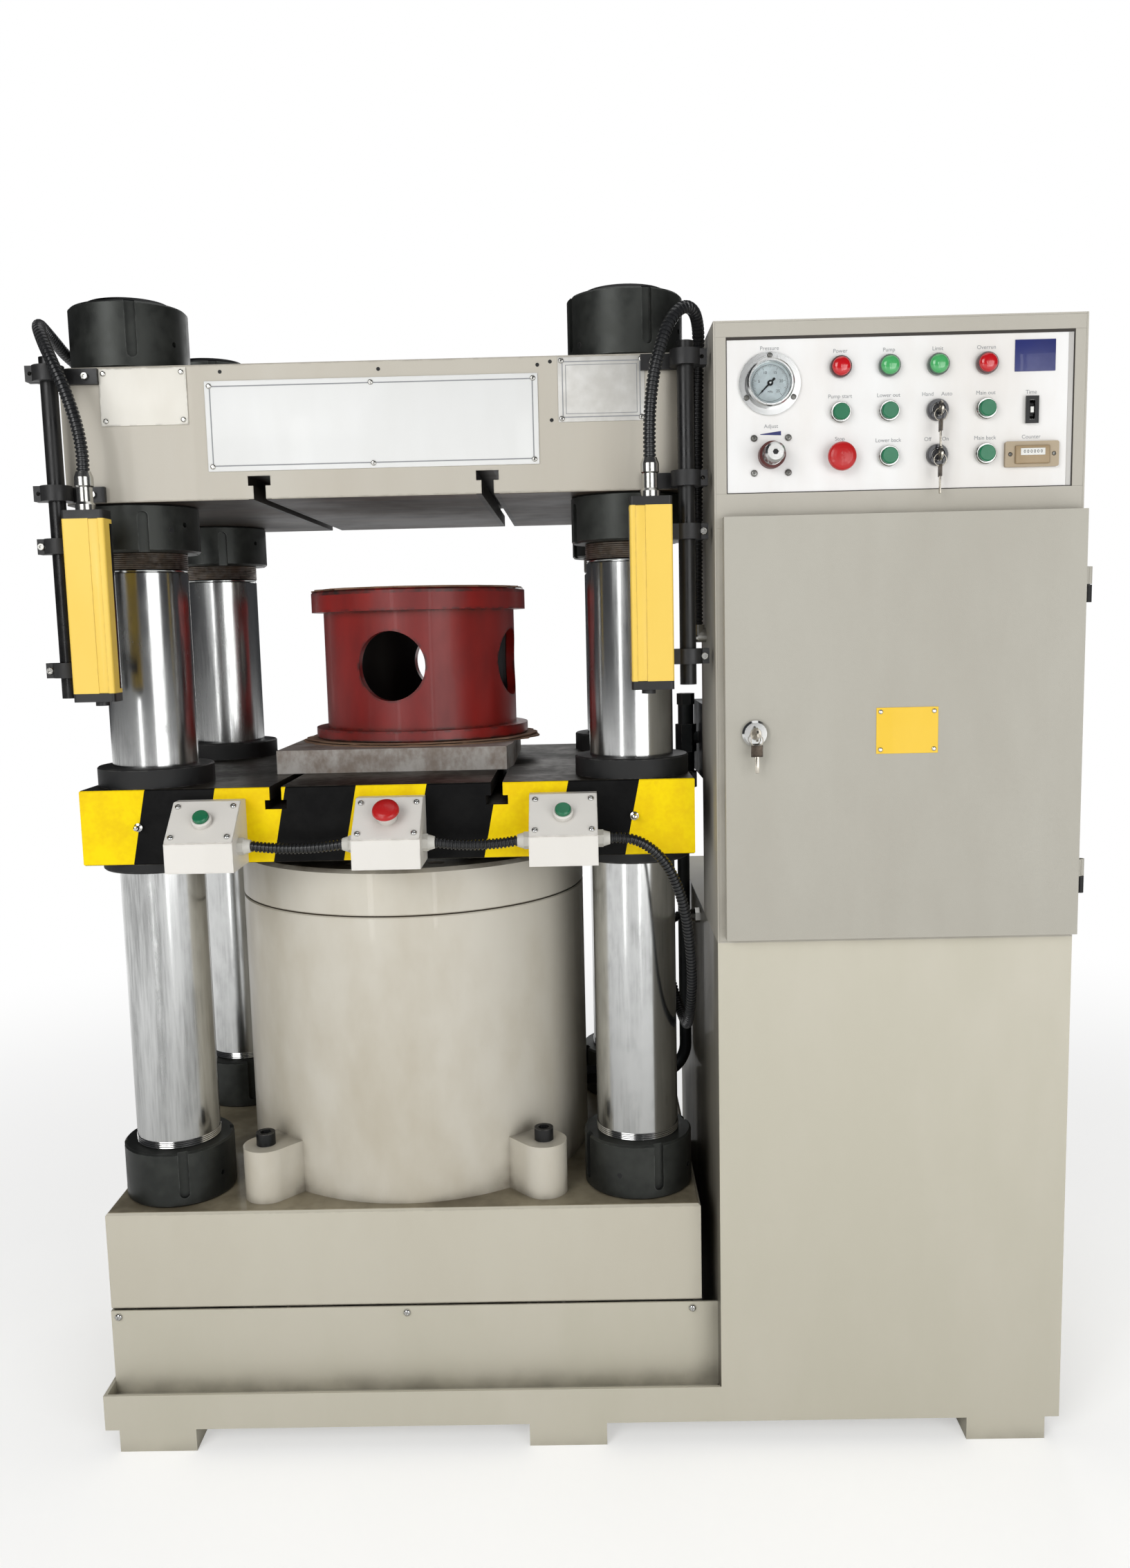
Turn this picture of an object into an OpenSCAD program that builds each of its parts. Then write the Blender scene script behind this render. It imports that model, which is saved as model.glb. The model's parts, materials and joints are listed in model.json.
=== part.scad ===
// Four-column upstroking hydraulic press with a control cabinet on its power unit.
// Millimetres, +Z up, the front faces -Y. Heights count from the floor, and sizes
// across and along count from the press axis until place() moves the whole machine.

/* [Base] */
// Height of the feet
foot_h = 36; // [30:1:60]
// Width of one foot
foot_w = 120; // [80:5:140]
// Depth of one foot
foot_d = 80; // [60:5:120]
// Distance from the press axis to the tray's left rim
tray_left = 470; // [470:5:560]
// Depth of the tray and of the power housing
base_depth = 710; // [680:10:800]
// Height of the tray's rim wall
rim_h = 57; // [50:1:80]
// Depth of the tray's floor below its rim
floor_drop = 21; // [15:1:35]
// Thickness of the welded plates of the base
plate_t = 5; // [4:0.5:8]
// Height of the pedestal under the base block
pedestal_h = 138; // [132:1:180]
// Width of one pedestal rail
rail_w = 60; // [40:5:80]
// Distance from the press axis to a pedestal rail
rail_x = 220; // [180:5:240]
// Thickness of the cover panels
skirt_t = 3; // [2:0.5:4]

/* [Base block] */
// Width of the base block
block_w = 930; // [920:5:935]
// Depth of the base block
block_d = 620; // [620:5:640]
// Height of the base block
block_h = 160; // [120:5:200]
// Chamfer on the edges of the heavy blocks
block_chamfer = 4; // [1:1:8]

/* [Columns] */
// Diameter of a column
col_d = 130; // [110:1:140]
// Distance between columns across the press
col_pitch_x = 746; // [740:1:750]
// Distance between columns front to back
col_pitch_y = 420; // [410:1:426]
// Diameter of the ring nuts
nut_d = 172; // [165:1:176]
// Height of the nuts on top of the crown
nut_top_h = 95; // [70:1:110]
// Height of the nuts under the crown
nut_crown_h = 70; // [50:1:90]
// Height of the nuts on top of the base block
nut_base_h = 88; // [60:1:100]
// Height of the nuts under the base block
nut_foot_h = 70; // [50:1:90]
// Length of column above its top nut
col_over = 9; // [4:1:25]
// Length of thread that shows under the crown's nuts
thread_show = 30; // [15:5:60]
// Pitch of the column thread
thread_pitch = 5; // [4:0.5:8]
// Width of a spanner slot in a nut
slot_w = 15; // [10:1:20]
// Depth of a spanner slot in a nut
slot_depth = 7; // [4:1:9]
// Diameter of the grub screw hole in a nut
grub_d = 8; // [6:1:10]

/* [Crown] */
// Height of the crown's underside above the floor
crown_z = 1458; // [1458:1:1500]
// Width of the crown
crown_w = 924; // [920:2:930]
// Depth of the crown
crown_d = 600; // [596:2:610]
// Height of the crown
crown_h = 193; // [170:1:220]
// Radius of the crown's upright corners
crown_r = 40; // [20:5:60]
// Width of a T-slot at its neck
tslot_neck = 18; // [14:1:22]
// Width of a T-slot at its head
tslot_head = 33; // [28:1:40]
// Height of a T-slot's head
tslot_head_h = 14; // [10:1:18]
// Depth of a T-slot
tslot_depth = 34; // [26:1:40]
// Distance between the two T-slots
tslot_pitch = 333; // [250:1:360]

/* [Cylinder and ram] */
// Outside diameter of the main cylinder
cyl_d = 585; // [520:5:600]
// Bore of the main cylinder
cyl_bore = 400; // [380:5:450]
// Height of the cylinder body
cyl_h = 460; // [400:10:500]
// Thickness of the cylinder's bottom
cyl_floor = 70; // [50:5:90]
// Height of the gland ring
gland_h = 73; // [50:1:90]
// Diameter of the ram
ram_d = 360; // [300:5:370]
// Height of the piston at the ram's foot
piston_h = 80; // [50:5:120]
// Gap between the gland and the table at rest
table_gap = 17; // [16:1:40]
// Height of a lug at the cylinder's foot
lug_h = 85; // [60:5:100]
// Width of a lug
lug_w = 72; // [50:2:80]
// Distance from the press axis to a lug's bolt
lug_reach = 335; // [330:1:345]
// Angle of the lugs from the press's width
lug_angle = 48.5; // [45:0.5:52]
// Nominal size of the lug bolts
bolt_d = 20; // [16:2:24]

/* [Table] */
// Width of the moving table
table_w = 926; // [920:2:928]
// Depth of the moving table
table_d = 600; // [596:2:610]
// Thickness of the moving table
table_h = 115; // [90:1:125]
// Diameter of a guide bush's flange
bush_flange_d = 176; // [170:1:178]
// Height of a guide bush's upper flange
bush_top_h = 30; // [20:1:40]
// Height of a guide bush's lower flange
bush_low_h = 15; // [10:1:16]
// Wall of a guide bush
bush_wall = 10; // [6:1:14]

/* [Control boxes] */
// Places of the three boxes along the table's front, from the press axis
box_at = [-262, 9, 266]; // [-300:1:300]
// Width of a control box
box_w = 100; // [90:1:110]
// Depth of a control box
box_d = 85; // [75:1:95]
// Height of a control box at its front
box_front_h = 43; // [35:1:50]
// Height of a control box at its back
box_back_h = 97; // [90:1:105]
// Depth of the level top behind the sloping lid
box_top_d = 25; // [20:1:30]
// Wall of a control box
box_wall = 3; // [2:0.5:4]
// Thickness of a box's lid
lid_t = 2; // [1.5:0.5:3]

/* [Load pieces] */
// Width of the steel plate on the table
load_plate_w = 376; // [340:2:400]
// Depth of the steel plate
load_plate_d = 330; // [320:2:345]
// Thickness of the steel plate
load_plate_t = 38; // [25:1:45]
// Thickness of the lower packing board
card_low_t = 6; // [3:1:10]
// Thickness of the upper packing board
card_top_t = 3; // [2:0.5:4]
// Height of the spacer
spacer_h = 254; // [200:1:255]
// Diameter of the spacer's flanges
spacer_flange_d = 374; // [360:1:380]
// How far the spacer's flanges stand out past its tube
spacer_lip = 20; // [15:1:30]
// Wall of the spacer's barrel
spacer_wall = 16; // [10:1:24]
// Thickness of the spacer's upper flange
spacer_top_t = 36; // [20:1:40]
// Thickness of the spacer's lower flange
spacer_foot_t = 19; // [12:1:30]
// Diameter of the windows in the spacer
window_d = 116; // [90:1:125]

/* [Light curtains] */
// Distance from the press axis to a curtain's pole
pole_x = 453; // [450:1:455]
// Diameter of a pole
pole_d = 24; // [18:1:28]
// Gap between the crown's front and a pole
pole_gap = 15; // [12:1:25]
// Length of a pole
pole_len = 484; // [460:2:486]
// Width of a curtain bar
bar_w = 60; // [50:1:64]
// Depth of a curtain bar
bar_d = 35; // [30:1:45]
// Length of a curtain bar without its caps
bar_len = 246; // [200:1:250]
// Distance from the press axis to a curtain bar
bar_x = 399; // [396:1:402]
// Height of a bar's end cap
cap_h = 12; // [8:1:16]
// Height of a clamp
clamp_h = 22; // [16:1:26]
// Wall of a clamp around its pole
clamp_wall = 10; // [6:1:12]

/* [Cabinet] */
// Distance from the press axis to the cabinet's left side
cab_left = 490; // [489:1:520]
// Width of the cabinet and of the power housing
cab_w = 520; // [515:5:560]
// Depth of the cabinet
cab_d = 205; // [190:5:260]
// Height of the power housing above the floor
housing_top = 795; // [780:5:820]
// Height of the cabinet
cab_h = 885; // [860:5:900]
// Sheet thickness of the cabinet
cab_t = 2.5; // [2:0.5:4]
// Depth of the door's folded edge
door_d = 21; // [16:1:26]
// Height of the door
door_h = 608; // [590:2:612]
// Gap between the cabinet's foot and the door
door_foot = 8; // [6:1:14]
// Width of the frame that shows left of the door
door_inset = 11; // [8:1:16]
// Length of one hinge
hinge_len = 50; // [40:2:60]
// Radius of a hinge knuckle
knuckle_r = 5; // [4:0.5:6]
// Diameter of the door lock
lock_d = 38; // [30:1:42]

/* [Control panel] */
// Width of the opening in front of the panel
panel_w = 485; // [475:1:490]
// Height of the opening in front of the panel
panel_h = 214; // [205:1:218]
// Height of the frame above the panel's opening
panel_top = 22; // [20:1:30]
// Diameter of a button's ring
ring_d = 29.5; // [28:0.5:32]
// Diameter of a push button's head
head_d = 23; // [20:0.5:24]
// Diameter of a mushroom head
mushroom_d = 40; // [36:1:44]
// Distance between buttons along a row
pitch_across = 67.7; // [60:0.1:72]
// Distance between rows of buttons
pitch_down = 61.5; // [55:0.5:66]
// Diameter of the gauge's flange
gauge_flange_d = 86; // [80:1:92]
// Diameter of the gauge's case
gauge_d = 66; // [60:1:72]
// Diameter of the pressure knob
knob_d = 28; // [24:1:32]
// Diameter of the thumbwheel
wheel_d = 24; // [20:1:26]

/* [Power unit] */
// Diameter of the pump's motor
motor_d = 220; // [180:5:240]
// Length of the pump's motor
motor_len = 320; // [260:5:340]
// Diameter of the hydraulic pipe
pipe_d = 22; // [18:1:23]
// Bend radius of the hydraulic pipe
pipe_bend = 60; // [45:5:70]

/* [Conduits] */
// Diameter of the conduits on the control boxes
conduit_d = 16; // [12:1:18]
// Diameter of the conduits of the light curtains
curtain_conduit_d = 18; // [14:1:18]
// Length of a conduit gland
gland_len = 18; // [14:1:20]

/* [Fits] */
// Radial running clearance of sliding and turning fits
run_fit = 0.05; // [0.02:0.01:0.1]
// Radial clearance of fixed pieces in their bores
seat_fit = 0.2; // [0.1:0.05:0.4]
// Gap between pieces that pass each other
pass_gap = 1; // [0.6:0.1:2]

/* [Hidden] */
$fn = 64;
eps = 0.01;

// Colours of the machine as the photograph shows them
beige = "#d9d3c3";
cabinet_grey = "#b3aea4";
bare_steel = "#6d675e";
black = "#2b2d30";
chrome = "#c3cacf";
yellow = "#f2c81e";
green = "#2ea37a";
red = "#c3242c";
white = "#e9e6df";
rubber = "#1d1e20";

// Heights of the stacked pieces
rim_top = foot_h + rim_h;
floor_z = rim_top - floor_drop;
block_z = floor_z + pedestal_h;
block_top = block_z + block_h;
cyl_top = block_top + cyl_h;
gland_top = cyl_top + gland_h;
table_z = gland_top + table_gap;
table_top = table_z + table_h;
piston_z = block_top + cyl_floor;
crown_top = crown_z + crown_h;
col_bottom = block_z - nut_foot_h - col_over;
col_top = crown_top + nut_top_h + col_over;
load_top = table_top + load_plate_t;
spacer_z = load_top + card_low_t;
spacer_top = spacer_z + spacer_h;
cab_top = housing_top + cab_h;

// Places across and front to back
col_x = col_pitch_x / 2;
col_y = col_pitch_y / 2;
tslot_x = tslot_pitch / 2;
cab_right = cab_left + cab_w;
base_front = -base_depth / 2;
base_back = base_depth / 2;
cab_back = base_front + cab_d;
table_front = -table_d / 2;
crown_front = -crown_d / 2;
pole_y = crown_front - pole_gap - pole_d / 2;
pole_top = crown_top + 9;
pole_z = pole_top - pole_len;
clamp_r = pole_d / 2 + clamp_wall + 8;
bar_back = pole_y - 18;
bar_front = bar_back - bar_d;
bar_z = pole_z + cap_h - 4;
bar_top = bar_z + bar_len;
bar_mid_y = (bar_front + bar_back) / 2;
connector_h = 54;
connector_top = bar_top + cap_h + connector_h;
load_x = -15;
load_front = -130;
spacer_x = 13;
spacer_y = 80;
spacer_turn = -11;

// Door, hinge and panel places
door_left = cab_left + door_inset;
door_right = cab_right - pass_gap;
door_z = housing_top + door_foot;
door_front = base_front - door_d;
door_back = base_front - 0.5;
hinge_x = cab_right + knuckle_r;
hinge_y = base_front - door_d / 2;
hinge_at = [door_z + 60, door_z + door_h - 130];
leaf_t = 3;
pin_r = knuckle_r / 2;
lock_x = door_left + 42;
lock_z = door_z + door_h / 2 - 1;
lock_h = 8;
key_len = 22;
panel_z = cab_top - panel_top - panel_h;
panel_left = (cab_left + cab_right - panel_w) / 2;
spacer_d = spacer_flange_d - 2 * spacer_lip;
panel_front = base_front + cab_t;
panel_t = 2;
panel_lap = 5;
row_z = [for (i = [0:2]) panel_z + panel_h - 44 - i * pitch_down];
col_at = [for (i = [0:3]) panel_left + 159.5 + i * pitch_across];
instrument_x = panel_left + 61;
gauge_at = [instrument_x, panel_z + panel_h - 64];
knob_at = [instrument_x + 2, panel_z + 52];
wheel_at = [panel_left + panel_w - 59, row_z[1] - 3];
counter_at = [panel_left + panel_w - 58, row_z[2] - 2];
counter_w = 75;
counter_h = 35;

// Common sizes of the operators, measured out from their panel
ring_h = 9;
ring_floor = 3;
head_gap = 0.3;
head_back = 8;
head_h = 7;
stem_d = 10;
barrel_d = 22;
barrel_len = 32;
mushroom_h = 12;
mushroom_lift = 14;
lamp_d = 22;
lamp_bore = 18;
key_core_d = 16;

// Gauge, pressure valve and thumbwheel
gauge_h = 16;
gauge_rim = 4;
gauge_back = 22;
dial_at = 5;
lens_at = 11;
lens_t = 3;
pivot_d = 3;
needle_lift = dial_at + 1.5;
needle_rest = 225;
valve_screw_at = 24;
valve_collar_d = 36;
valve_collar_h = 16;
knob_stem_d = 12;
knob_h = 26;
wheel_slot_w = 12;
wheel_slot_h = 28;
wheel_frame = [17, 36, 5];
wheel_t = 6;
wheel_back = 7;

// Control boxes on the table's front and the conduits between them
lid_rise = box_back_h - box_front_h;
lid_run = box_d - box_top_d;
lid_angle = atan2(lid_rise, lid_run);
lid_len = norm([lid_rise, lid_run]);
box_z = table_z + 1;
link_y = table_front - 50;
link_z = box_z + 33;
link_sag = 5;

// Clamps on the poles, valve block and pressure pipe
crown_clamp_at = [crown_z + 1, crown_top - 25];
bar_clamp_at = [bar_z + 22, bar_top - 46];
valve_left = cab_left + 16;
valve_z = housing_top + 200;
valve_size = [150, 160, 130];
valve_y = 20;
pipe_x = cab_left - pipe_d / 2 - 1.5;
pipe_y = 100;
pipe_port_z = block_top + 60;
pipe_top_z = valve_z + 65;

// The frame's origin stands under the middle of the machine's own box
machine_left = -(pole_x + clamp_r);
machine_right = hinge_x + knuckle_r;
machine_front = door_front - lock_h - key_len;
frame_x = (machine_left + machine_right) / 2;
frame_y = (machine_front + base_back + skirt_t) / 2;

// Routes of the three loose conduits, from the press axis
left_route = [[-399, -362.5, 1496], [-399, -362.5, 1522], [-403, -362, 1554], [-411, -361, 1586],
    [-422, -359, 1618], [-435, -355, 1648], [-449, -346, 1677], [-461, -329, 1699], [-470, -303, 1710],
    [-474, -271, 1708], [-475, -237, 1700], [-474, -204, 1690], [-467, -171, 1680], [-450, -141, 1671],
    [-424, -116, 1664], [-389, -98, 1661], [-347, -86, 1661], [-301, -77, 1661], [-252, -71, 1661],
    [-200, -67, 1661], [-148, -64, 1661], [-96, -62, 1661], [-44, -60, 1661], [8, -60, 1661],
    [60, -60, 1661], [112, -60, 1661], [164, -60, 1661], [216, -58, 1661], [268, -56, 1661],
    [320, -52, 1661], [374, -48, 1662], [426, -44, 1666], [472, -42, 1667], [511, -44, 1659],
    [540, -52, 1641], [555, -68, 1621], [560, -90, 1609], [560, -112, 1605], [560, -132, 1605]];
right_route = [[399, -362.5, 1496], [399, -362.5, 1522], [400, -362, 1554], [403, -361, 1586],
    [408, -359, 1616], [416, -356, 1646], [426, -351, 1674], [440, -343, 1696], [455, -331, 1706],
    [468, -313, 1702], [475, -292, 1686], [477, -276, 1662], [477, -264, 1634], [477, -255, 1602],
    [477, -249, 1570], [477, -244, 1538], [477, -240, 1506], [477, -236, 1474], [477, -232, 1442],
    [477, -228, 1410], [477, -224, 1378], [477, -221, 1346], [477, -219, 1314], [477, -218, 1284],
    [477, -218, 1262]];
control_route = [[334, -350, 955], [352, -350, 955], [376, -349, 949], [400, -346, 932],
    [420, -341, 906], [434, -335, 874], [444, -328, 838], [450, -319, 800], [454, -309, 762],
    [456, -296, 724], [456, -279, 688], [455, -258, 656], [454, -231, 634], [453, -203, 627],
    [449, -172, 633], [443, -146, 650], [436, -126, 676], [430, -110, 704], [428, -97, 730],
    [431, -86, 752], [441, -78, 766], [456, -72, 772], [472, -72, 772]];

// Moves the press so that the origin stands under the middle of the machine
module place() {
    translate([-frame_x, -frame_y, 0]) children();
}

// Places children at a point of the control panel, with +Z out of the panel
module on_panel(at) {
    translate([at[0], panel_front, at[1]]) rotate([90, 0, 0]) children();
}

// Places children at each column, first the front pair and then the rear pair
module at_columns() {
    for (sy = [-1, 1], sx = [-1, 1]) translate([sx * col_x, sy * col_y, 0]) children();
}

// A box between two corners
module span(low, high) {
    translate(low) cube(high - low);
}

// A rectangle with round corners, centred
module round_rect(w, d, r) {
    square([w - 2 * r, d], center = true);
    square([w, d - 2 * r], center = true);
    for (sx = [-1, 1], sy = [-1, 1]) translate([sx * (w / 2 - r), sy * (d / 2 - r)]) circle(r);
}

// A centred block whose top and bottom edges are chamfered
module chamfered_block(w, d, h, c) {
    intersection() {
        translate([-w / 2, -d / 2, 0]) cube([w, d, h]);
        rotate([90, 0, 90]) translate([0, 0, -w / 2]) linear_extrude(w) chamfered_outline(d, h, c);
        translate([0, d / 2, 0]) rotate([90, 0, 0]) linear_extrude(d) chamfered_outline(w, h, c);
    }
}

// A rectangle standing on the axis with its corners cut
module chamfered_outline(w, h, c) {
    polygon([[-w / 2 + c, 0], [w / 2 - c, 0], [w / 2, c], [w / 2, h - c],
        [w / 2 - c, h], [-w / 2 + c, h], [-w / 2, h - c], [-w / 2, c]]);
}

// Cross-section of a T-slot that opens upwards at the origin
module tslot_outline() {
    translate([-tslot_neck / 2, -tslot_depth]) square([tslot_neck, tslot_depth + 1]);
    translate([-tslot_head / 2, -tslot_depth]) square([tslot_head, tslot_head_h]);
}

// A ring between two radii
module ring(r_out, r_in, h) {
    difference() {
        cylinder(r = r_out, h = h);
        translate([0, 0, -1]) cylinder(r = r_in, h = h + 2);
    }
}

// A socket-head cap screw standing on its head's seat
module cap_screw(d, length) {
    difference() {
        union() {
            cylinder(d = 1.5 * d, h = d);
            translate([0, 0, -length]) cylinder(d = d, h = length + eps);
        }
        translate([0, 0, d / 2]) cylinder(d = 0.95 * d, h = d, $fn = 6);
    }
}

// Helpers that sweep a round tube along a route
function unit(v) = v / norm(v);
function heading(route, i) =
    i == 0 ? unit(route[1] - route[0]) :
    i == len(route) - 1 ? unit(route[i] - route[i - 1]) :
    unit(unit(route[i + 1] - route[i]) + unit(route[i] - route[i - 1]));
function carry(n, t) = unit(n - (n * t) * t);
function frames(route, n, i = 0) =
    i == len(route) ? [] :
    let (t = heading(route, i), m = carry(n, t)) concat([[m, cross(t, m)]], frames(route, m, i + 1));

// A tube of one diameter along the points of a route
module swept_tube(route, d, first_normal, sides = 10) {
    frame = frames(route, first_normal);
    points = [for (i = [0:len(route) - 1], k = [0:sides - 1])
        let (a = 360 * k / sides)
        route[i] + d / 2 * (cos(a) * frame[i][0] + sin(a) * frame[i][1])];
    last = (len(route) - 1) * sides;
    faces = concat(
        [[for (k = [0:sides - 1]) k]],
        [[for (k = [sides - 1:-1:0]) last + k]],
        [for (i = [0:len(route) - 2], k = [0:sides - 1])
            let (a = i * sides, b = (k + 1) % sides)
            [a + k, a + sides + k, a + sides + b, a + b]]);
    polyhedron(points, faces);
}

// Base, pedestal and housing of the power unit
module base_frame() {
    foot_x = [-tray_left + 22 + foot_w / 2, (cab_left - tray_left) / 2 + 242, cab_right - 22 - foot_w / 2];
    color(beige) place() {
        difference() {
            span([-tray_left, base_front, foot_h], [cab_right, base_back, rim_top]);
            span([-tray_left + plate_t, base_front + plate_t, floor_z],
                [cab_left, base_back - plate_t, rim_top + 1]);
            span([-tray_left + plate_t, base_front + plate_t, foot_h - 1],
                [cab_right - plate_t, base_back - plate_t, floor_z - plate_t]);
            span([cab_left - eps, base_front + plate_t, floor_z],
                [cab_right - plate_t, base_back - plate_t, rim_top + 1]);
        }
        for (x = foot_x) foot_row(x);
        for (sx = [-1, 1]) pedestal_rail(sx * rail_x);
        power_housing();
    }
}

// A cross member under the tray with a folded foot at each end, open to the middle
module foot_row(x) {
    wall = 6;
    sole = 8;
    span([x - foot_w / 2, base_front + plate_t - eps, foot_h],
        [x + foot_w / 2, base_back - plate_t + eps, floor_z - plate_t + eps]);
    for (m = [0, 1]) mirror([0, m, 0]) difference() {
        span([x - foot_w / 2, base_front, 0], [x + foot_w / 2, base_front + foot_d, foot_h + eps]);
        span([x - foot_w / 2 + wall, base_front + wall, sole],
            [x + foot_w / 2 - wall, base_front + foot_d + 1, foot_h - wall]);
    }
}

// One box rail that carries the base block
module pedestal_rail(x) {
    difference() {
        span([x - rail_w / 2, -block_d / 2 + 30, floor_z - eps], [x + rail_w / 2, block_d / 2 - 30, block_z]);
        span([x - rail_w / 2 + plate_t, -block_d / 2, floor_z + plate_t],
            [x + rail_w / 2 - plate_t, block_d / 2, block_z - 2 * plate_t]);
    }
}

// The welded housing at the right of the tray, open at the back behind its panel
module power_housing() {
    wall = plate_t;
    lip = 40;
    difference() {
        span([cab_left, base_front, floor_z - eps], [cab_right, base_back, housing_top]);
        span([cab_left + wall, base_front + wall, floor_z - 1],
            [cab_right - wall, base_back - wall, housing_top - wall]);
        span([cab_left + lip, base_back - wall - 1, floor_z + lip],
            [cab_right - lip, base_back + 1, housing_top - lip]);
    }
}

// Removable panels round the pedestal and behind the power housing
module cover_panels() {
    skirt_front = -block_d / 2;
    skirt_left = -block_w / 2;
    lip = 32;
    slot_count = 9;
    slot_pitch = 36;
    color(beige) place() {
        span([skirt_left, skirt_front - skirt_t, floor_z], [cab_left, skirt_front, block_z]);
        span([skirt_left, -skirt_front, floor_z], [cab_left, -skirt_front + skirt_t, block_z]);
        span([skirt_left, skirt_front, floor_z], [skirt_left + skirt_t, -skirt_front, block_z]);
        difference() {
            span([cab_left + lip, base_back, floor_z + lip],
                [cab_right - lip, base_back + skirt_t, housing_top - lip]);
            for (i = [0:slot_count - 1], sx = [-1, 1])
                translate([(cab_left + cab_right) / 2 + sx * cab_w / 5, base_back - 1,
                    housing_top - 2 * lip - 40 - i * slot_pitch])
                    rotate([-90, 0, 0]) linear_extrude(skirt_t + 2) vent_slot(cab_w / 5, 8);
        }
    }
}

// A slot with round ends along X, centred
module vent_slot(length, w) {
    square([length - w, w], center = true);
    for (sx = [-1, 1]) translate([sx * (length - w) / 2, 0]) circle(d = w);
}

module base_block() {
    color(beige) place() difference() {
        translate([0, 0, block_z]) chamfered_block(block_w, block_d, block_h, block_chamfer);
        at_columns() translate([0, 0, block_z - 1]) cylinder(r = col_d / 2 + seat_fit, h = block_h + 2);
        for (a = lug_angles()) translate([lug_reach * cos(a), lug_reach * sin(a), block_top - 45])
            cylinder(d = bolt_d + 2 * seat_fit, h = 46);
    }
}

// Directions of the four lugs round the cylinder
function lug_angles() = [lug_angle, 180 - lug_angle, 180 + lug_angle, -lug_angle];

// One column with chamfered ends and its exposed thread
module column(sx, sy) {
    r = col_d / 2;
    c = 4;
    groove = 2.2;
    turns = floor(thread_show / thread_pitch);
    thread_top = crown_z - nut_crown_h;
    outline = concat(
        [[0, col_bottom], [r - c, col_bottom], [r, col_bottom + c]],
        [for (i = [turns:-1:1]) each [
            [r, thread_top - i * thread_pitch],
            [r - groove, thread_top - (i - 0.5) * thread_pitch]]],
        [[r, thread_top], [r, col_top - c], [r - c, col_top], [0, col_top]]);
    color(chrome) place() translate([sx * col_x, sy * col_y, 0]) difference() {
        rotate_extrude() polygon(outline);
        translate([0, 0, col_top - 16]) cylinder(d = 16, h = 17);
    }
}

module column_front_left() { column(-1, -1); }
module column_front_right() { column(1, -1); }
module column_rear_left() { column(-1, 1); }
module column_rear_right() { column(1, 1); }

// A ring nut with four spanner slots that open at its top
module ring_nut(h) {
    r = nut_d / 2;
    bore = col_d / 2 + seat_fit;
    slot_foot = 0.16 * h + slot_w / 2;
    c = 3;
    difference() {
        rotate_extrude() polygon([[bore, 0], [r - c, 0], [r, c], [r, h - c], [r - c, h], [bore, h]]);
        for (a = [20:90:380]) rotate([0, 0, a]) {
            translate([r - slot_depth, -slot_w / 2, slot_foot]) cube([slot_depth + 1, slot_w, h]);
            translate([r - slot_depth, 0, slot_foot]) rotate([0, 90, 0])
                cylinder(d = slot_w, h = slot_depth + 1);
        }
        for (a = [65, 245]) rotate([0, 0, a - 90]) translate([bore - 1, 0, h * 0.42])
            rotate([0, 90, 0]) cylinder(d = grub_d, h = nut_d);
    }
}

module crown_nuts() {
    color(black) place() at_columns() {
        translate([0, 0, crown_top]) ring_nut(nut_top_h);
        translate([0, 0, crown_z]) mirror([0, 0, 1]) ring_nut(nut_crown_h);
    }
}

module base_nuts() {
    color(black) place() at_columns() {
        translate([0, 0, block_top]) ring_nut(nut_base_h);
        translate([0, 0, block_z]) mirror([0, 0, 1]) ring_nut(nut_foot_h);
    }
}

module crown() {
    color(beige) place() translate([0, 0, crown_z]) difference() {
        intersection() {
            linear_extrude(crown_h) round_rect(crown_w, crown_d, crown_r);
            chamfered_block(crown_w, crown_d, crown_h, block_chamfer / 2);
        }
        at_columns() translate([0, 0, -1]) cylinder(r = col_d / 2 + seat_fit, h = crown_h + 2);
        for (sx = [-1, 1]) translate([sx * tslot_x, crown_d / 2 + 1, 0])
            rotate([90, 180, 0]) linear_extrude(crown_d + 2) tslot_outline();
    }
}

module cylinder_body() {
    r = cyl_d / 2;
    c = 3;
    color(beige) place() translate([0, 0, block_top]) difference() {
        union() {
            rotate_extrude() polygon([[0, 0], [r, 0], [r, cyl_h - c], [r - c, cyl_h], [0, cyl_h]]);
            for (a = lug_angles()) rotate([0, 0, a]) {
                translate([r - 40, -lug_w / 2, 0]) cube([lug_reach - r + 40, lug_w, lug_h]);
                translate([lug_reach, 0, 0]) cylinder(d = lug_w, h = lug_h);
            }
        }
        translate([0, 0, cyl_floor]) cylinder(d = cyl_bore, h = cyl_h);
        for (a = lug_angles()) rotate([0, 0, a]) translate([lug_reach, 0, -1])
            cylinder(d = bolt_d + 2 * seat_fit, h = lug_h + 2);
        translate([0, pipe_y, pipe_port_z - block_top]) rotate([0, 90, 0])
            cylinder(d = pipe_d - 8, h = r + 10);
    }
}

module cylinder_gland() {
    r = cyl_d / 2;
    c = 6;
    bore = ram_d / 2 + run_fit;
    screw_r = (r + bore) / 2 + 10;
    seal_h = 8;
    seal_w = 9;
    color(beige) place() translate([0, 0, cyl_top]) {
        difference() {
            rotate_extrude() polygon([[bore, 0], [r - 3, 0], [r, 3], [r, gland_h - c], [r - c, gland_h],
                [bore + seal_w, gland_h], [bore + seal_w, gland_h - seal_h], [bore, gland_h - seal_h]]);
            for (a = [15:30:345]) rotate([0, 0, a]) translate([screw_r, 0, gland_h - 20]) {
                cylinder(d = 28, h = 21);
            }
        }
        for (a = [15:30:345]) rotate([0, 0, a]) translate([screw_r, 0, gland_h - 20])
            difference() {
                cylinder(d = 24, h = 16);
                translate([0, 0, 8]) cylinder(d = 14, h = 9, $fn = 6);
            }
        translate([0, 0, gland_h - seal_h]) ring(bore + seal_w - run_fit, bore, seal_h - 1);
    }
}

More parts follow.
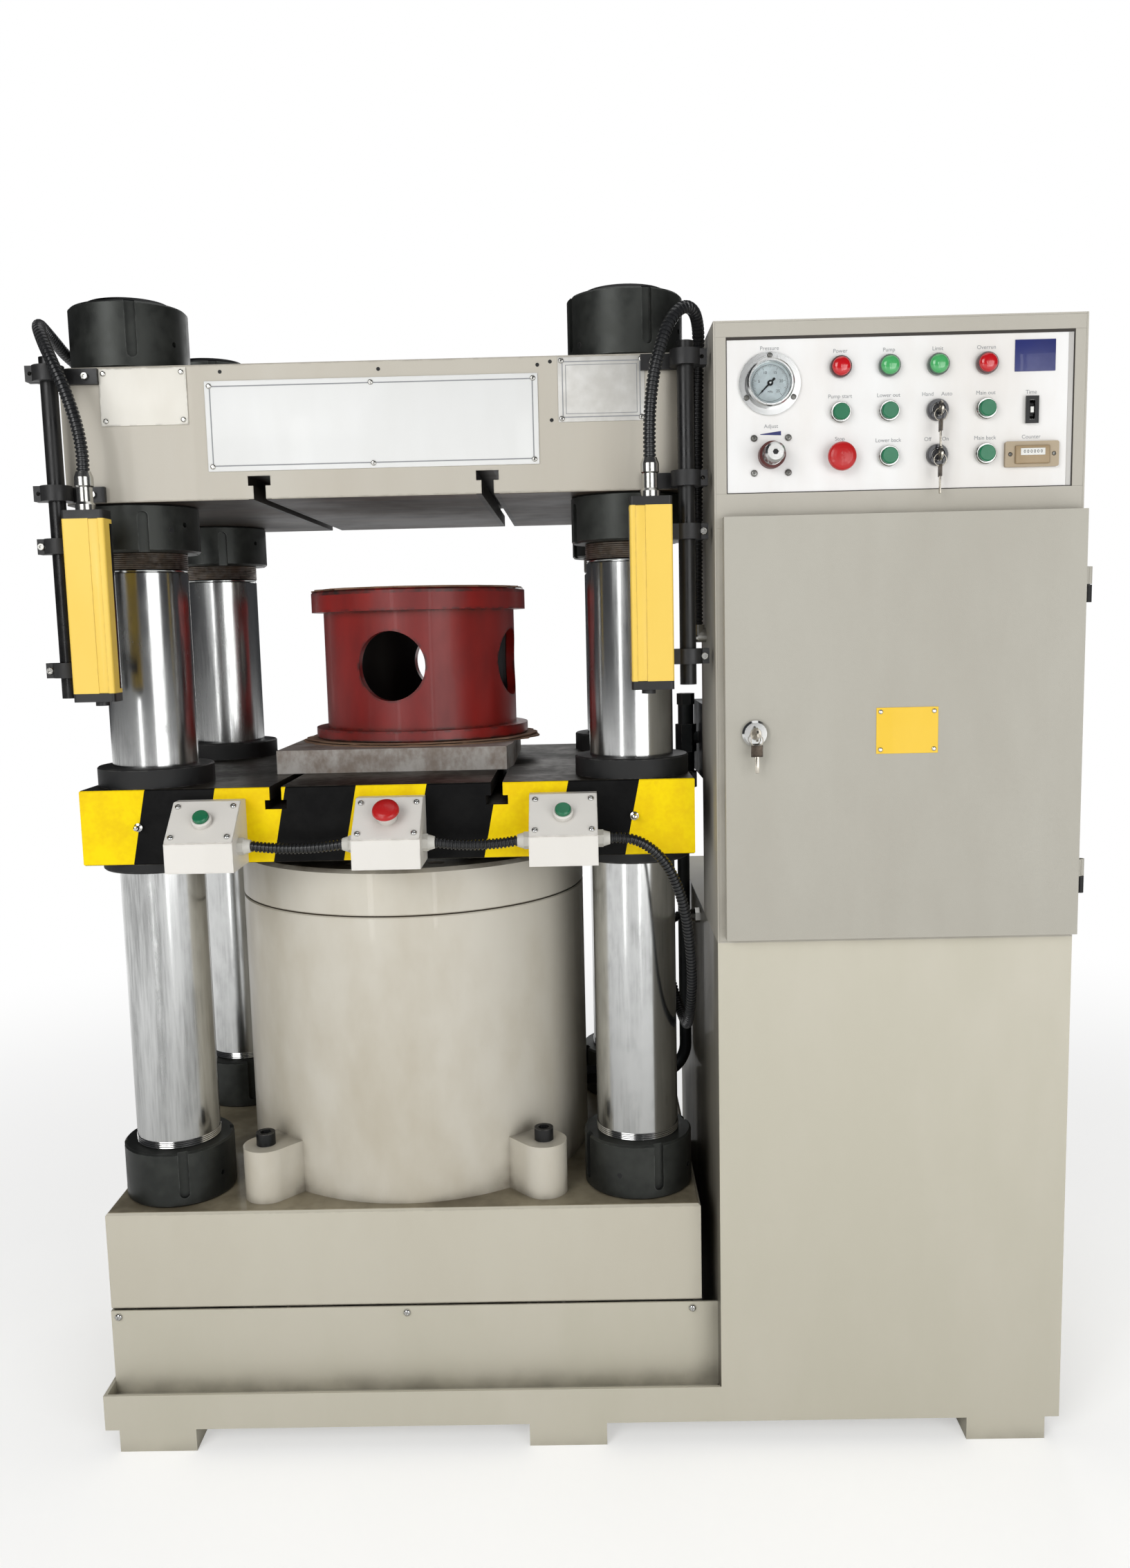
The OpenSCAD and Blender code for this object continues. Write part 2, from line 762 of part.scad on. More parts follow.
module cylinder_bolts() {
    color(black) place() for (a = lug_angles())
        translate([lug_reach * cos(a), lug_reach * sin(a), block_top + lug_h])
            cap_screw(bolt_d, lug_h + 40);
}

// The sheet cabinet: two walls, a floor, a roof, a back, and a front of bars and posts
// around the panel's opening and the door's
module cabinet_body() {
    frame = 14;
    left_end = left_route[len(left_route) - 1];
    inner_left = cab_left + cab_t + seat_fit;
    inner_right = cab_right - cab_t - seat_fit;
    inner_low = housing_top + cab_t + seat_fit;
    inner_high = cab_top - cab_t - seat_fit;
    door_low = door_z + frame;
    door_high = door_z + door_h - frame;
    panel_top = panel_z + panel_h;
    color(cabinet_grey) place() {
        for (x = [cab_left, cab_right - cab_t])
            span([x, base_front, housing_top], [x + cab_t, cab_back, cab_top]);
        for (z = [housing_top, cab_top - cab_t])
            span([inner_left, base_front, z], [inner_right, cab_back, z + cab_t]);
        difference() {
            span([inner_left, cab_back - cab_t, inner_low], [inner_right, cab_back, inner_high]);
            translate([left_end[0], cab_back - cab_t - 1, left_end[2]])
                rotate([-90, 0, 0]) cylinder(d = curtain_conduit_d - 2, h = cab_t + 2);
        }
        for (bar = [[inner_low, door_low], [door_high, panel_z], [panel_top, inner_high]])
            span([inner_left, base_front, bar[0]], [inner_right, panel_front, bar[1]]);
        for (post = [[inner_left, door_left + frame], [door_right - frame, inner_right]])
            span([post[0], base_front, door_low + seat_fit], [post[1], panel_front, door_high - seat_fit]);
        for (post = [[inner_left, panel_left], [panel_left + panel_w, inner_right]])
            span([post[0], base_front, panel_z + seat_fit], [post[1], panel_front, panel_top - seat_fit]);
    }
}

// The panel sheet behind its opening, with a hole for each operator
module control_panel() {
    lap = panel_lap;
    color(white) place() difference() {
        span([panel_left - lap, panel_front, panel_z - lap],
            [panel_left + panel_w + lap, panel_front + panel_t, panel_z + panel_h + lap]);
        for (x = col_at, z = row_z) on_panel([x, z])
            translate([0, 0, -panel_t - 1]) cylinder(d = barrel_d + 2 * seat_fit, h = panel_t + 2);
        on_panel(gauge_at) translate([0, 0, -panel_t - 1]) cylinder(d = gauge_d - 8, h = panel_t + 2);
        on_panel(knob_at) translate([0, 0, -panel_t - 1])
            cylinder(d = barrel_d + 2 * seat_fit, h = panel_t + 2);
        on_panel(wheel_at) translate([-wheel_slot_w / 2, -wheel_slot_h / 2, -panel_t - 1])
            cube([wheel_slot_w, wheel_slot_h, panel_t + 2]);
        on_panel(counter_at) translate([-counter_w / 2 + 4, -counter_h / 2 + 4, -panel_t - 1])
            cube([counter_w - 8, counter_h - 8, panel_t + 2]);
    }
}

// A button's ring with the barrel that passes through the panel
module button_ring() {
    difference() {
        union() {
            rotate_extrude() polygon([[0, 0], [ring_d / 2, 0], [ring_d / 2, ring_h - 2],
                [ring_d / 2 - 1.5, ring_h], [0, ring_h]]);
            translate([0, 0, -barrel_len]) cylinder(d = barrel_d, h = barrel_len + eps);
        }
        translate([0, 0, ring_floor]) cylinder(d = head_d + 2 * head_gap, h = ring_h);
        translate([0, 0, -barrel_len - 1]) cylinder(d = stem_d + 2 * head_gap, h = barrel_len + ring_h);
    }
}

// A pilot light's or key switch's ring, closed by what it holds
module plain_ring(bore) {
    difference() {
        union() {
            rotate_extrude() polygon([[0, 0], [ring_d / 2, 0], [ring_d / 2, ring_h - 3],
                [ring_d / 2 - 2, ring_h - 1], [0, ring_h - 1]]);
            translate([0, 0, -barrel_len]) cylinder(d = barrel_d, h = barrel_len + eps);
        }
        translate([0, 0, -barrel_len + 8]) cylinder(d = bore, h = barrel_len + ring_h);
    }
}

module panel_bezels() {
    color(chrome) place() {
        for (x = col_at) on_panel([x, row_z[0]]) plain_ring(lamp_bore);
        for (i = [0, 1, 3]) on_panel([col_at[i], row_z[1]]) button_ring();
        for (i = [1, 3]) on_panel([col_at[i], row_z[2]]) button_ring();
        on_panel([col_at[0], row_z[2]]) button_ring();
        for (z = [row_z[1], row_z[2]]) on_panel([col_at[2], z]) plain_ring(key_core_d + 2 * head_gap);
        on_panel(knob_at) valve_base();
        on_panel(wheel_at) wheel_housing();
    }
}

// Collar of the pressure valve with its four fixing screws
module valve_base() {
    difference() {
        union() {
            cylinder(d = valve_collar_d, h = valve_collar_h);
            translate([0, 0, -barrel_len]) cylinder(d = barrel_d, h = barrel_len + eps);
        }
        translate([0, 0, -barrel_len + 6])
            cylinder(d = knob_stem_d + 2 * head_gap, h = barrel_len + valve_collar_h);
    }
    for (sx = [-1, 1], sy = [-1, 1]) translate([sx * valve_screw_at, sy * valve_screw_at, 0])
        cylinder(d1 = 9, d2 = 6, h = 2.5);
}

// Frame of the thumbwheel, with the pin that the wheel turns on
module wheel_housing() {
    difference() {
        translate([-wheel_frame[0] / 2, -wheel_frame[1] / 2, 0]) cube(wheel_frame);
        translate([-(wheel_t + 2) / 2, -wheel_d / 2 - 1, -1])
            cube([wheel_t + 2, wheel_d + 2, wheel_frame[2] + 2]);
    }
    for (sx = [-1, 1]) translate([sx * (wheel_t / 2 + 2) - 1, -5, -wheel_back - 5])
        cube([2, 10, wheel_back + 5 + eps]);
    translate([-wheel_t / 2 - 2, 0, -wheel_back]) rotate([0, 90, 0]) cylinder(d = 4, h = wheel_t + 4);
}

// A pilot light's domed lens on its lamp body
module pilot_lens() {
    seat = ring_h - 1;
    dome = 5;
    rotate_extrude() polygon(concat(
        [[0, -barrel_len + 8], [lamp_bore / 2 - seat_fit, -barrel_len + 8], [lamp_bore / 2 - seat_fit, seat],
            [lamp_d / 2, seat]],
        [for (a = [0:15:90]) [lamp_d / 2 * cos(a), seat + 2 + dome * sin(a)]]));
}

module pilot_lights_red() {
    color(red) place() for (i = [0, 3]) on_panel([col_at[i], row_z[0]]) pilot_lens();
}

module pilot_lights_green() {
    color(green) place() for (i = [1, 2]) on_panel([col_at[i], row_z[0]]) pilot_lens();
}

// Gauge case with its flange, dial floor and pivot
module gauge_case() {
    color(black) place() on_panel(gauge_at) difference() {
        union() {
            cylinder(d = gauge_flange_d, h = 4);
            rotate_extrude() polygon([[0, 0], [gauge_d / 2, 0], [gauge_d / 2, gauge_h - 2],
                [gauge_d / 2 - 2, gauge_h], [0, gauge_h]]);
            translate([0, 0, -gauge_back]) cylinder(d = gauge_d - 10, h = gauge_back + eps);
        }
        difference() {
            translate([0, 0, dial_at]) cylinder(d = gauge_d - 2 * gauge_rim, h = gauge_h);
            translate([0, 0, dial_at - 1]) cylinder(d = pivot_d, h = lens_at - dial_at - 1);
        }
        for (a = [90, 210, 330]) rotate([0, 0, a]) translate([gauge_flange_d / 2 - 5, 0, -1])
            cylinder(d = 4.5, h = 6);
    }
}

module gauge_lens() {
    color(white, 0.3) place() on_panel(gauge_at) translate([0, 0, lens_at])
        cylinder(d = gauge_d - 2 * gauge_rim - 2 * seat_fit, h = lens_t);
}

// The gauge's needle, pointing at the start of its scale
module gauge_needle() {
    tip = gauge_d / 2 - gauge_rim - 6;
    color(black) place() on_panel(gauge_at) translate([0, 0, needle_lift]) rotate([0, 0, needle_rest])
        difference() {
            union() {
                cylinder(d = 8, h = 1.5);
                linear_extrude(1)
                    polygon([[-9, -1.6], [0, -1.4], [tip, -0.3], [tip, 0.3], [0, 1.4], [-9, 1.6]]);
            }
            translate([0, 0, -1]) cylinder(d = pivot_d + 2 * run_fit, h = 4);
        }
}

module counter() {
    color(white) place() on_panel(counter_at) {
        difference() {
            union() {
                linear_extrude(6) round_rect(counter_w, counter_h, 3);
                translate([-counter_w / 2 + 5, -counter_h / 2 + 5, -40])
                    cube([counter_w - 10, counter_h - 10, 41]);
            }
            translate([-22, -8, 4]) cube([44, 16, 5]);
            for (sx = [-1, 1]) translate([sx * (counter_w / 2 - 7), 0, 4]) cylinder(d = 6, h = 5);
        }
    }
}

// Fixed hinge leaves on the cabinet's side, with their pins
module door_hinges() {
    color(black) place() for (z = hinge_at) translate([0, 0, z]) {
        half = hinge_len / 2 - pass_gap / 2;
        difference() {
            union() {
                translate([hinge_x, hinge_y, 0]) cylinder(r = knuckle_r, h = half);
                span([cab_right, hinge_y, 0], [cab_right + leaf_t, base_front + 26, half]);
            }
            translate([hinge_x, hinge_y, -1]) cylinder(r = pin_r, h = half + 2);
        }
        translate([hinge_x, hinge_y, 0]) cylinder(r = pin_r, h = hinge_len - 2);
    }
}

// The folded door with its stiffening edge and its hinge leaves
module door() {
    color(cabinet_grey) place() {
        difference() {
            span([door_left, door_front, door_z], [door_right, door_back, door_z + door_h]);
            span([door_left + cab_t, door_front + cab_t, door_z + cab_t],
                [door_right - cab_t, door_back + 1, door_z + door_h - cab_t]);
            translate([lock_x, door_front - 1, lock_z]) rotate([-90, 0, 0])
                cylinder(d = barrel_d + 2 * seat_fit, h = cab_t + 2);
        }
        for (z = hinge_at) translate([0, 0, z]) {
            foot = hinge_len / 2 + pass_gap / 2;
            difference() {
                union() {
                    translate([hinge_x, hinge_y, foot]) cylinder(r = knuckle_r, h = hinge_len - foot);
                    span([door_right - eps, door_front + 2, foot], [door_right + leaf_t, hinge_y, hinge_len]);
                }
                translate([hinge_x, hinge_y, foot - 1]) cylinder(r = pin_r + run_fit, h = hinge_len);
            }
        }
    }
}

// The lock barrel in the door
module door_lock() {
    color(chrome) place() translate([lock_x, door_front, lock_z]) rotate([90, 0, 0]) difference() {
        union() {
            rotate_extrude() polygon([[0, 0], [lock_d / 2, 0], [lock_d / 2, lock_h - 3],
                [lock_d / 2 - 3, lock_h], [0, lock_h]]);
            translate([0, 0, -16]) cylinder(d = barrel_d, h = 16 + eps);
        }
        translate([0, 0, -12]) cylinder(d = key_core_d + 2 * head_gap, h = lock_h + 13);
    }
}

// A key in its turning core; the core fills its barrel to the given depth
module key_and_core(depth, face) {
    bow_d = 20;
    bow_t = 2.4;
    shank = face + key_len - bow_d;
    translate([0, 0, -depth]) cylinder(d = key_core_d, h = depth + face);
    difference() {
        union() {
            translate([-bow_t / 2, -4, face - 2]) cube([bow_t, 8, shank - face + 12]);
            translate([-bow_t / 2, 0, face + key_len - bow_d / 2]) rotate([0, 90, 0])
                cylinder(d = bow_d, h = bow_t);
        }
        translate([-bow_t, 0, face + key_len - bow_d / 2]) rotate([0, 90, 0]) cylinder(d = 7, h = 2 * bow_t);
    }
}

module door_key() {
    color(chrome) place() translate([lock_x, door_front, lock_z]) rotate([90, 0, 0])
        key_and_core(11.5, lock_h);
}

module mode_key() {
    color(chrome) place() on_panel([col_at[2], row_z[1]]) key_and_core(20, ring_h - 1);
}

module ejector_key() {
    color(chrome) place() on_panel([col_at[2], row_z[2]]) key_and_core(20, ring_h - 1);
}

// A push button's head and stem
module push_head() {
    rotate_extrude() polygon([[0, -barrel_len + 4], [stem_d / 2, -barrel_len + 4], [stem_d / 2, head_back],
        [head_d / 2, head_back], [head_d / 2, head_back + head_h - 1.5],
        [head_d / 2 - 1.5, head_back + head_h], [0, head_back + head_h]]);
}

// A mushroom head and its stem
module mushroom_head() {
    r = mushroom_d / 2;
    rotate_extrude() polygon(concat(
        [[0, -barrel_len + 4], [stem_d / 2, -barrel_len + 4], [stem_d / 2, mushroom_lift],
            [r - 4, mushroom_lift], [r, mushroom_lift + 3]],
        [for (a = [0:15:90]) [(r - 0.5) * cos(a), mushroom_lift + 5 + (mushroom_h - 5) * sin(a)]]));
}

module pump_button() { color(green) place() on_panel([col_at[0], row_z[1]]) push_head(); }
module lower_out_button() { color(green) place() on_panel([col_at[1], row_z[1]]) push_head(); }
module main_out_button() { color(green) place() on_panel([col_at[3], row_z[1]]) push_head(); }
module lower_back_button() { color(green) place() on_panel([col_at[1], row_z[2]]) push_head(); }
module main_back_button() { color(green) place() on_panel([col_at[3], row_z[2]]) push_head(); }
module panel_stop() { color(red) place() on_panel([col_at[0], row_z[2]]) mushroom_head(); }

module pressure_knob() {
    lift = valve_collar_h + pass_gap;
    color(chrome) place() on_panel(knob_at) {
        difference() {
            rotate_extrude() polygon([[0, -barrel_len + 8], [knob_stem_d / 2, -barrel_len + 8],
                [knob_stem_d / 2, lift], [knob_d / 2, lift], [knob_d / 2, lift + knob_h - 3],
                [knob_d / 2 - 3, lift + knob_h], [0, lift + knob_h]]);
            for (a = [0:30:330]) rotate([0, 0, a]) translate([knob_d / 2 + 0.6, 0, lift + 3])
                cylinder(d = 3, h = knob_h - 8);
        }
    }
}

module time_wheel() {
    color(black) place() on_panel(wheel_at) translate([-wheel_t / 2, 0, -wheel_back]) rotate([0, 90, 0])
        difference() {
            cylinder(d = wheel_d, h = wheel_t);
            translate([0, 0, -1]) cylinder(d = 4 + 2 * run_fit, h = wheel_t + 2);
            for (a = [0:36:324]) rotate([0, 0, a]) translate([wheel_d / 2 + 0.8, 0, -1])
                cylinder(d = 4, h = wheel_t + 2);
        }
}

// Mounting plate behind the door with rails, switchgear and terminals
module electrical_plate() {
    plate_front = cab_back - cab_t - 20;
    left = cab_left + 60;
    right = cab_right - 60;
    low = housing_top + 60;
    high = panel_z - 60;
    contactor = [45, 75, 80];
    relay = [28, 60, 80];
    rail_t = 8;
    device_gap = 9;
    rail_h = [for (share = [0.208, 0.529, 0.813]) low + share * (high - low)];
    color(white) place() {
        span([left, plate_front, low], [right, plate_front + 2, high]);
        for (x = [left + 15, right - 15], z = [low + 15, high - 15])
            translate([x, cab_back - cab_t, z]) rotate([90, 0, 0]) cylinder(d = 10, h = 18);
        for (z = rail_h) span([left + 20, plate_front - rail_t, z - 17], [right - 20, plate_front, z + 17]);
        for (i = [0:3]) translate([left + 40 + i * (contactor[0] + device_gap),
            plate_front - rail_t - contactor[1], rail_h[1] - contactor[2] / 2]) cube(contactor);
        for (i = [0:5]) translate([left + 40 + i * (relay[0] + 2),
            plate_front - rail_t - relay[1], rail_h[2] - relay[2] / 2]) cube(relay);
        span([left + 40, plate_front - rail_t - 45, rail_h[0] - 22],
            [right - 40, plate_front - rail_t, rail_h[0] + 22]);
    }
}

// Reservoir, motor and pump inside the housing
module power_unit() {
    mid = (cab_left + cab_right) / 2;
    tank_top = floor_z + 0.36 * (housing_top - floor_z);
    tank_wall = 5;
    motor_z = tank_top + motor_d / 2 + 20;
    color("#5d6a72") place() {
        difference() {
            span([cab_left + 40, base_front + 60, floor_z], [cab_right - 40, base_back - 60, tank_top]);
            span([cab_left + 40 + tank_wall, base_front + 60 + tank_wall, floor_z + tank_wall],
                [cab_right - 40 - tank_wall, base_back - 60 - tank_wall, tank_top - tank_wall]);
            translate([cab_left + 90, base_back - 110, tank_top - tank_wall - 1]) cylinder(d = 60, h = 20);
        }
        difference() {
            union() {
                translate([mid, base_front + 100, motor_z]) rotate([-90, 0, 0])
                    cylinder(d = motor_d, h = motor_len);
                span([mid - 80, base_front + 140, tank_top],
                    [mid + 80, base_front + 60 + motor_len, motor_z]);
            }
            for (a = [-120:20:120]) translate([mid, base_front + 130, motor_z]) rotate([0, a - 90, 0])
                translate([motor_d / 2 - 6, -1, -3]) cube([10, motor_len - 60, 6]);
        }
        translate([mid, base_front + 100 + motor_len, motor_z]) rotate([-90, 0, 0]) {
            cylinder(d = 90, h = 60);
            translate([0, 0, 60 - eps]) cylinder(d = 130, h = 90);
        }
    }
}

// Valve block on its stand behind the cabinet, with two solenoid valves and a relief valve
module valve_block() {
    stand_t = 8;
    valve_top = valve_z + valve_size[2];
    color("#4c5157") place() {
        for (y = [valve_y, valve_y + valve_size[1] - stand_t])
            span([valve_left + 40, y, housing_top], [valve_left + valve_size[0], y + stand_t, valve_z]);
        difference() {
            translate([valve_left, valve_y, valve_z]) cube(valve_size);
            translate([valve_left - 1, pipe_y, pipe_top_z]) rotate([0, 90, 0])
                cylinder(d = pipe_d - 8, h = 60);
        }
        for (y = [40, 110]) {
            span([valve_left + 20, y, valve_top], [valve_left + 80, y + 50, valve_top + 60]);
            translate([valve_left + 80, y + 25, valve_top + 32]) rotate([0, 90, 0]) cylinder(d = 46, h = 70);
        }
        translate([valve_left + 125, valve_y, valve_z + 40]) rotate([90, 0, 0]) {
            cylinder(d = 44, h = 24, $fn = 6);
            cylinder(d = 34, h = 70);
            cylinder(d = 24, h = 100);
        }
    }
}

// The pressure pipe from the valve block down to the cylinder's port, with its fittings
module hydraulic_pipe() {
    r = pipe_d / 2;
    wall_x = sqrt(pow(cyl_d / 2, 2) - pow(pipe_y + r + 8, 2));
    nut_h = 44;
    fitting_x = pipe_x + 7;
    fitting_z = pipe_top_z - 90;
    fittings = [[38, 30, 6], [30, 35, 48], [38, 50, 6], [28, 35, 48], [32, 20, 6]];
    fitting_at = [0, 30, 65, 115, 150];
    color("#33373b") place() {
        translate([pipe_x, pipe_y, pipe_port_z + pipe_bend])
            cylinder(r = r, h = fitting_z - pipe_port_z - pipe_bend + eps);
        for (i = [0:len(fittings) - 1]) translate([fitting_x, pipe_y, fitting_z + fitting_at[i]])
            cylinder(d = fittings[i][0], h = fittings[i][1], $fn = fittings[i][2]);
        translate([fitting_x, pipe_y, pipe_top_z]) rotate([0, 90, 0])
            cylinder(r = r, h = valve_left - fitting_x);
        translate([pipe_x - pipe_bend, pipe_y, pipe_port_z + pipe_bend]) rotate([90, 0, 0])
            rotate([0, 0, -90]) rotate_extrude(angle = 90) translate([pipe_bend, 0]) circle(r = r);
        difference() {
            translate([wall_x, pipe_y, pipe_port_z]) rotate([0, 90, 0]) {
                cylinder(r = r, h = pipe_x - pipe_bend - wall_x + eps);
                cylinder(d = pipe_d + 16, h = nut_h, $fn = 6);
            }
            translate([0, 0, block_top]) cylinder(d = cyl_d + 2 * seat_fit, h = cyl_h);
        }
    }
}

// Two round poles that carry the light curtains
module curtain_poles() {
    color(black) place() for (sx = [-1, 1]) translate([sx * pole_x, pole_y, pole_z]) difference() {
        cylinder(d = pole_d, h = pole_len);
        translate([0, 0, pole_len - 10]) cylinder(d = pole_d - 6, h = 11);
    }
}

// A split clamp round a pole at the origin, open to the outside
module pole_clamp(h) {
    difference() {
        union() {
            cylinder(r = clamp_r - 8, h = h);
            translate([-clamp_r, -9, 0]) cube([clamp_r, 18, h]);
        }
        translate([0, 0, -1]) cylinder(r = pole_d / 2 + seat_fit, h = h + 2);
        translate([-clamp_r - 1, -1.5, -1]) cube([clamp_r, 3, h + 2]);
        translate([-clamp_r + 7, -10, h / 2]) rotate([-90, 0, 0]) cylinder(d = 6, h = 20);
    }
}

// Brackets on the crown, clamps on the bars and the bars' end caps
module curtain_brackets() {
    arm_t = 8;
    color(black) place() for (sx = [-1, 1]) mirror([sx > 0 ? 1 : 0, 0, 0]) {
        for (z = crown_clamp_at) translate([-pole_x, pole_y, z]) {
            pole_clamp(clamp_h);
            difference() {
                union() {
                    span([6, crown_front - pole_y - arm_t, 0],
                        [pole_x - bar_x + 8, crown_front - pole_y, clamp_h]);
                    span([6, 2, 0], [6 + arm_t, crown_front - pole_y, clamp_h]);
                }
                translate([0, 0, -1]) cylinder(r = pole_d / 2 + seat_fit, h = clamp_h + 2);
            }
        }
        for (z = bar_clamp_at) translate([-pole_x, pole_y, z]) {
            pole_clamp(clamp_h);
            difference() {
                span([4, bar_back - pole_y, 0], [pole_x - bar_x + 10, bar_back - pole_y + arm_t, clamp_h]);
                translate([0, 0, -1]) cylinder(r = pole_d / 2 + seat_fit, h = clamp_h + 2);
            }
        }
        for (z = [bar_z - cap_h, bar_top]) translate([-bar_x, bar_mid_y, z]) bar_cap();
        translate([-bar_x + 6, bar_mid_y, bar_z - cap_h - 6]) cylinder(d = 20, h = 6);
    }
}

// One end cap of a curtain bar
module bar_cap() {
    linear_extrude(cap_h) round_rect(bar_w, bar_d, 5);
}

// The two yellow bars with the window groove along their front
module light_curtains() {
    groove_w = 14;
    color(yellow) place() for (sx = [-1, 1]) mirror([sx > 0 ? 1 : 0, 0, 0])
        translate([-bar_x, bar_mid_y, bar_z]) linear_extrude(bar_len) difference() {
            round_rect(bar_w, bar_d, 4);
            translate([bar_w / 2 - 8 - groove_w, -bar_d / 2 - 1]) square([groove_w, 5]);
            for (y = [-6, 6]) translate([-bar_w / 2 - 1, y - 2]) square([5, 4]);
        }
}

// Connectors on the bars and glands on the cabinet for the loose conduits
module conduit_glands() {
    left_end = left_route[len(left_route) - 1];
    right_end = right_route[len(right_route) - 1];
    control_end = control_route[len(control_route) - 1];
    neck = bar_top + cap_h;
    color(chrome) place() {
        for (sx = [-1, 1]) translate([sx * bar_x, bar_mid_y, neck]) connector();
        translate([left_end[0], cab_back, left_end[2]]) rotate([-90, 0, 0])
            gland_body(left_end[1] - cab_back, curtain_conduit_d);
        translate(right_end) elbow_gland();
        translate([cab_left, control_end[1], control_end[2]]) rotate([0, -90, 0])
            gland_body(cab_left - control_end[0], conduit_d);
    }
}

// A straight gland standing on a wall, as long as the given reach
module gland_body(reach, d) {
    cylinder(d = d + 10, h = reach * 0.45, $fn = 6);
    translate([0, 0, reach * 0.45]) cylinder(d1 = d + 8, d2 = d + 2, h = reach * 0.55);
}

// A gland that turns a conduit from above into the cabinet's side
module elbow_gland() {
    r = curtain_conduit_d / 2 + 2;
    drop = 16;
    reach = cab_left - right_route[len(right_route) - 1][0];
    translate([0, 0, -drop]) cylinder(r = r, h = drop);
    translate([0, 0, -drop]) sphere(r = r);
    translate([0, 0, -drop]) rotate([0, 90, 0]) cylinder(r = r, h = reach);
}

// The conical connector on top of a curtain bar
module connector() {
    h = connector_h;
    rotate_extrude() polygon([[0, 0], [14, 0], [14, 8], [11, 12], [11, h - 22], [13, h - 20], [13, h - 8],
        [10, h], [0, h]]);
}

module conduit_left() {
    color(rubber) place() swept_tube(left_route, curtain_conduit_d, [1, 0, 0]);
}

module conduit_right() {
    color(rubber) place() swept_tube(right_route, curtain_conduit_d, [1, 0, 0]);
}

module control_conduit() {
    color(rubber) place() swept_tube(control_route, conduit_d, [0, 0, 1]);
}

// The moving table with its bores and T-slots
module table() {
    color(bare_steel) place() translate([0, 0, table_z]) difference() {
        chamfered_block(table_w, table_d, table_h, block_chamfer / 2);
        at_columns() translate([0, 0, -1]) cylinder(r = col_d / 2 + bush_wall + run_fit, h = table_h + 2);
        for (sx = [-1, 1]) translate([sx * tslot_x, table_d / 2 + 1, table_h])
            rotate([90, 0, 0]) linear_extrude(table_d + 2) tslot_outline();
    }
}

module ram() {
    c = 4;
    piston_r = cyl_bore / 2 - run_fit;
    piston_top = piston_z + piston_h;
    color(bare_steel) place() rotate_extrude() polygon([[0, piston_z], [piston_r - c, piston_z],
        [piston_r, piston_z + c], [piston_r, piston_top - c], [piston_r - c, piston_top],
        [ram_d / 2, piston_top], [ram_d / 2, table_z], [0, table_z]]);
}

// Flanged guide bushes, one pair in each bore of the table
module guide_bushes() {
    bore = col_d / 2 + run_fit;
    sleeve = col_d / 2 + bush_wall;
    flange = bush_flange_d / 2;
    split = table_z + table_h / 2;
    c = 2;
    color(black) place() at_columns() {
        rotate_extrude() polygon([[bore, split + 1], [sleeve, split + 1], [sleeve, table_top],
            [flange, table_top], [flange, table_top + bush_top_h - c],
            [flange - c, table_top + bush_top_h], [bore, table_top + bush_top_h]]);
        rotate_extrude() polygon([[bore, table_z - bush_low_h], [flange - c, table_z - bush_low_h],
            [flange, table_z - bush_low_h + c], [flange, table_z], [sleeve, table_z], [sleeve, split - 1],
            [bore, split - 1]]);
    }
}

// Side outline of a control box, from the table's front outwards
module box_outline(inset) {
    back = inset > 0 ? -inset : 0;
    polygon([[back, inset], [-box_d + inset, inset], [-box_d + inset, box_front_h - inset / 3],
        [-box_top_d - inset / 3, box_back_h - inset], [back, box_back_h - inset]]);
}

// Places children on the middle of a box's lid, with +Z out of the lid
module on_lid(x) {
    translate([x, table_front - box_d + lid_run / 2, box_z + box_front_h + lid_rise / 2])
        rotate([lid_angle, 0, 0]) translate([0, 0, lid_t]) children();
}

// Three control boxes with their lids and button rings
module control_boxes() {
    hole = barrel_d + 2 * seat_fit;
    color(white) place() for (x = box_at) {
        difference() {
            translate([x - box_w / 2, table_front, box_z]) rotate([90, 0, 90])
                linear_extrude(box_w) box_outline(0);
            translate([x - box_w / 2 + box_wall, table_front, box_z]) rotate([90, 0, 90])
                linear_extrude(box_w - 2 * box_wall) box_outline(box_wall);
            on_lid(x) translate([0, 0, -lid_t - 8]) cylinder(d = hole, h = 8 + lid_t);
        }
        on_lid(x) {
            translate([0, 0, -lid_t]) difference() {
                linear_extrude(lid_t) round_rect(box_w - 1, lid_len - 2, 3);
                translate([0, 0, -1]) cylinder(d = hole, h = lid_t + 2);
            }
            button_ring();
        }
    }
}

// Glands on the sides of the control boxes
module box_glands() {
    color(white) place() {
        for (i = [0, 1]) {
            translate([box_at[i] + box_w / 2, link_y, link_z]) rotate([0, 90, 0])
                gland_body(gland_len, conduit_d);
            translate([box_at[i + 1] - box_w / 2, link_y, link_z]) rotate([0, -90, 0])
                gland_body(gland_len, conduit_d);
        }
        translate([box_at[2] + box_w / 2, control_route[0][1], control_route[0][2]]) rotate([0, 90, 0])
            gland_body(control_route[0][0] - box_at[2] - box_w / 2, conduit_d);
    }
}

// Conduits clipped between neighbouring control boxes
module conduit_links() {
    steps = 8;
    color(rubber) place() for (i = [0, 1]) {
        a = box_at[i] + box_w / 2 + gland_len;
        b = box_at[i + 1] - box_w / 2 - gland_len;
        lead = 12;
        route = concat([[a, link_y, link_z]],
            [for (k = [0:steps]) [a + lead + (b - a - 2 * lead) * k / steps, link_y,
                link_z - link_sag * sin(180 * k / steps)]],
            [[b, link_y, link_z]]);
        swept_tube(route, conduit_d, [0, 0, 1]);
    }
}

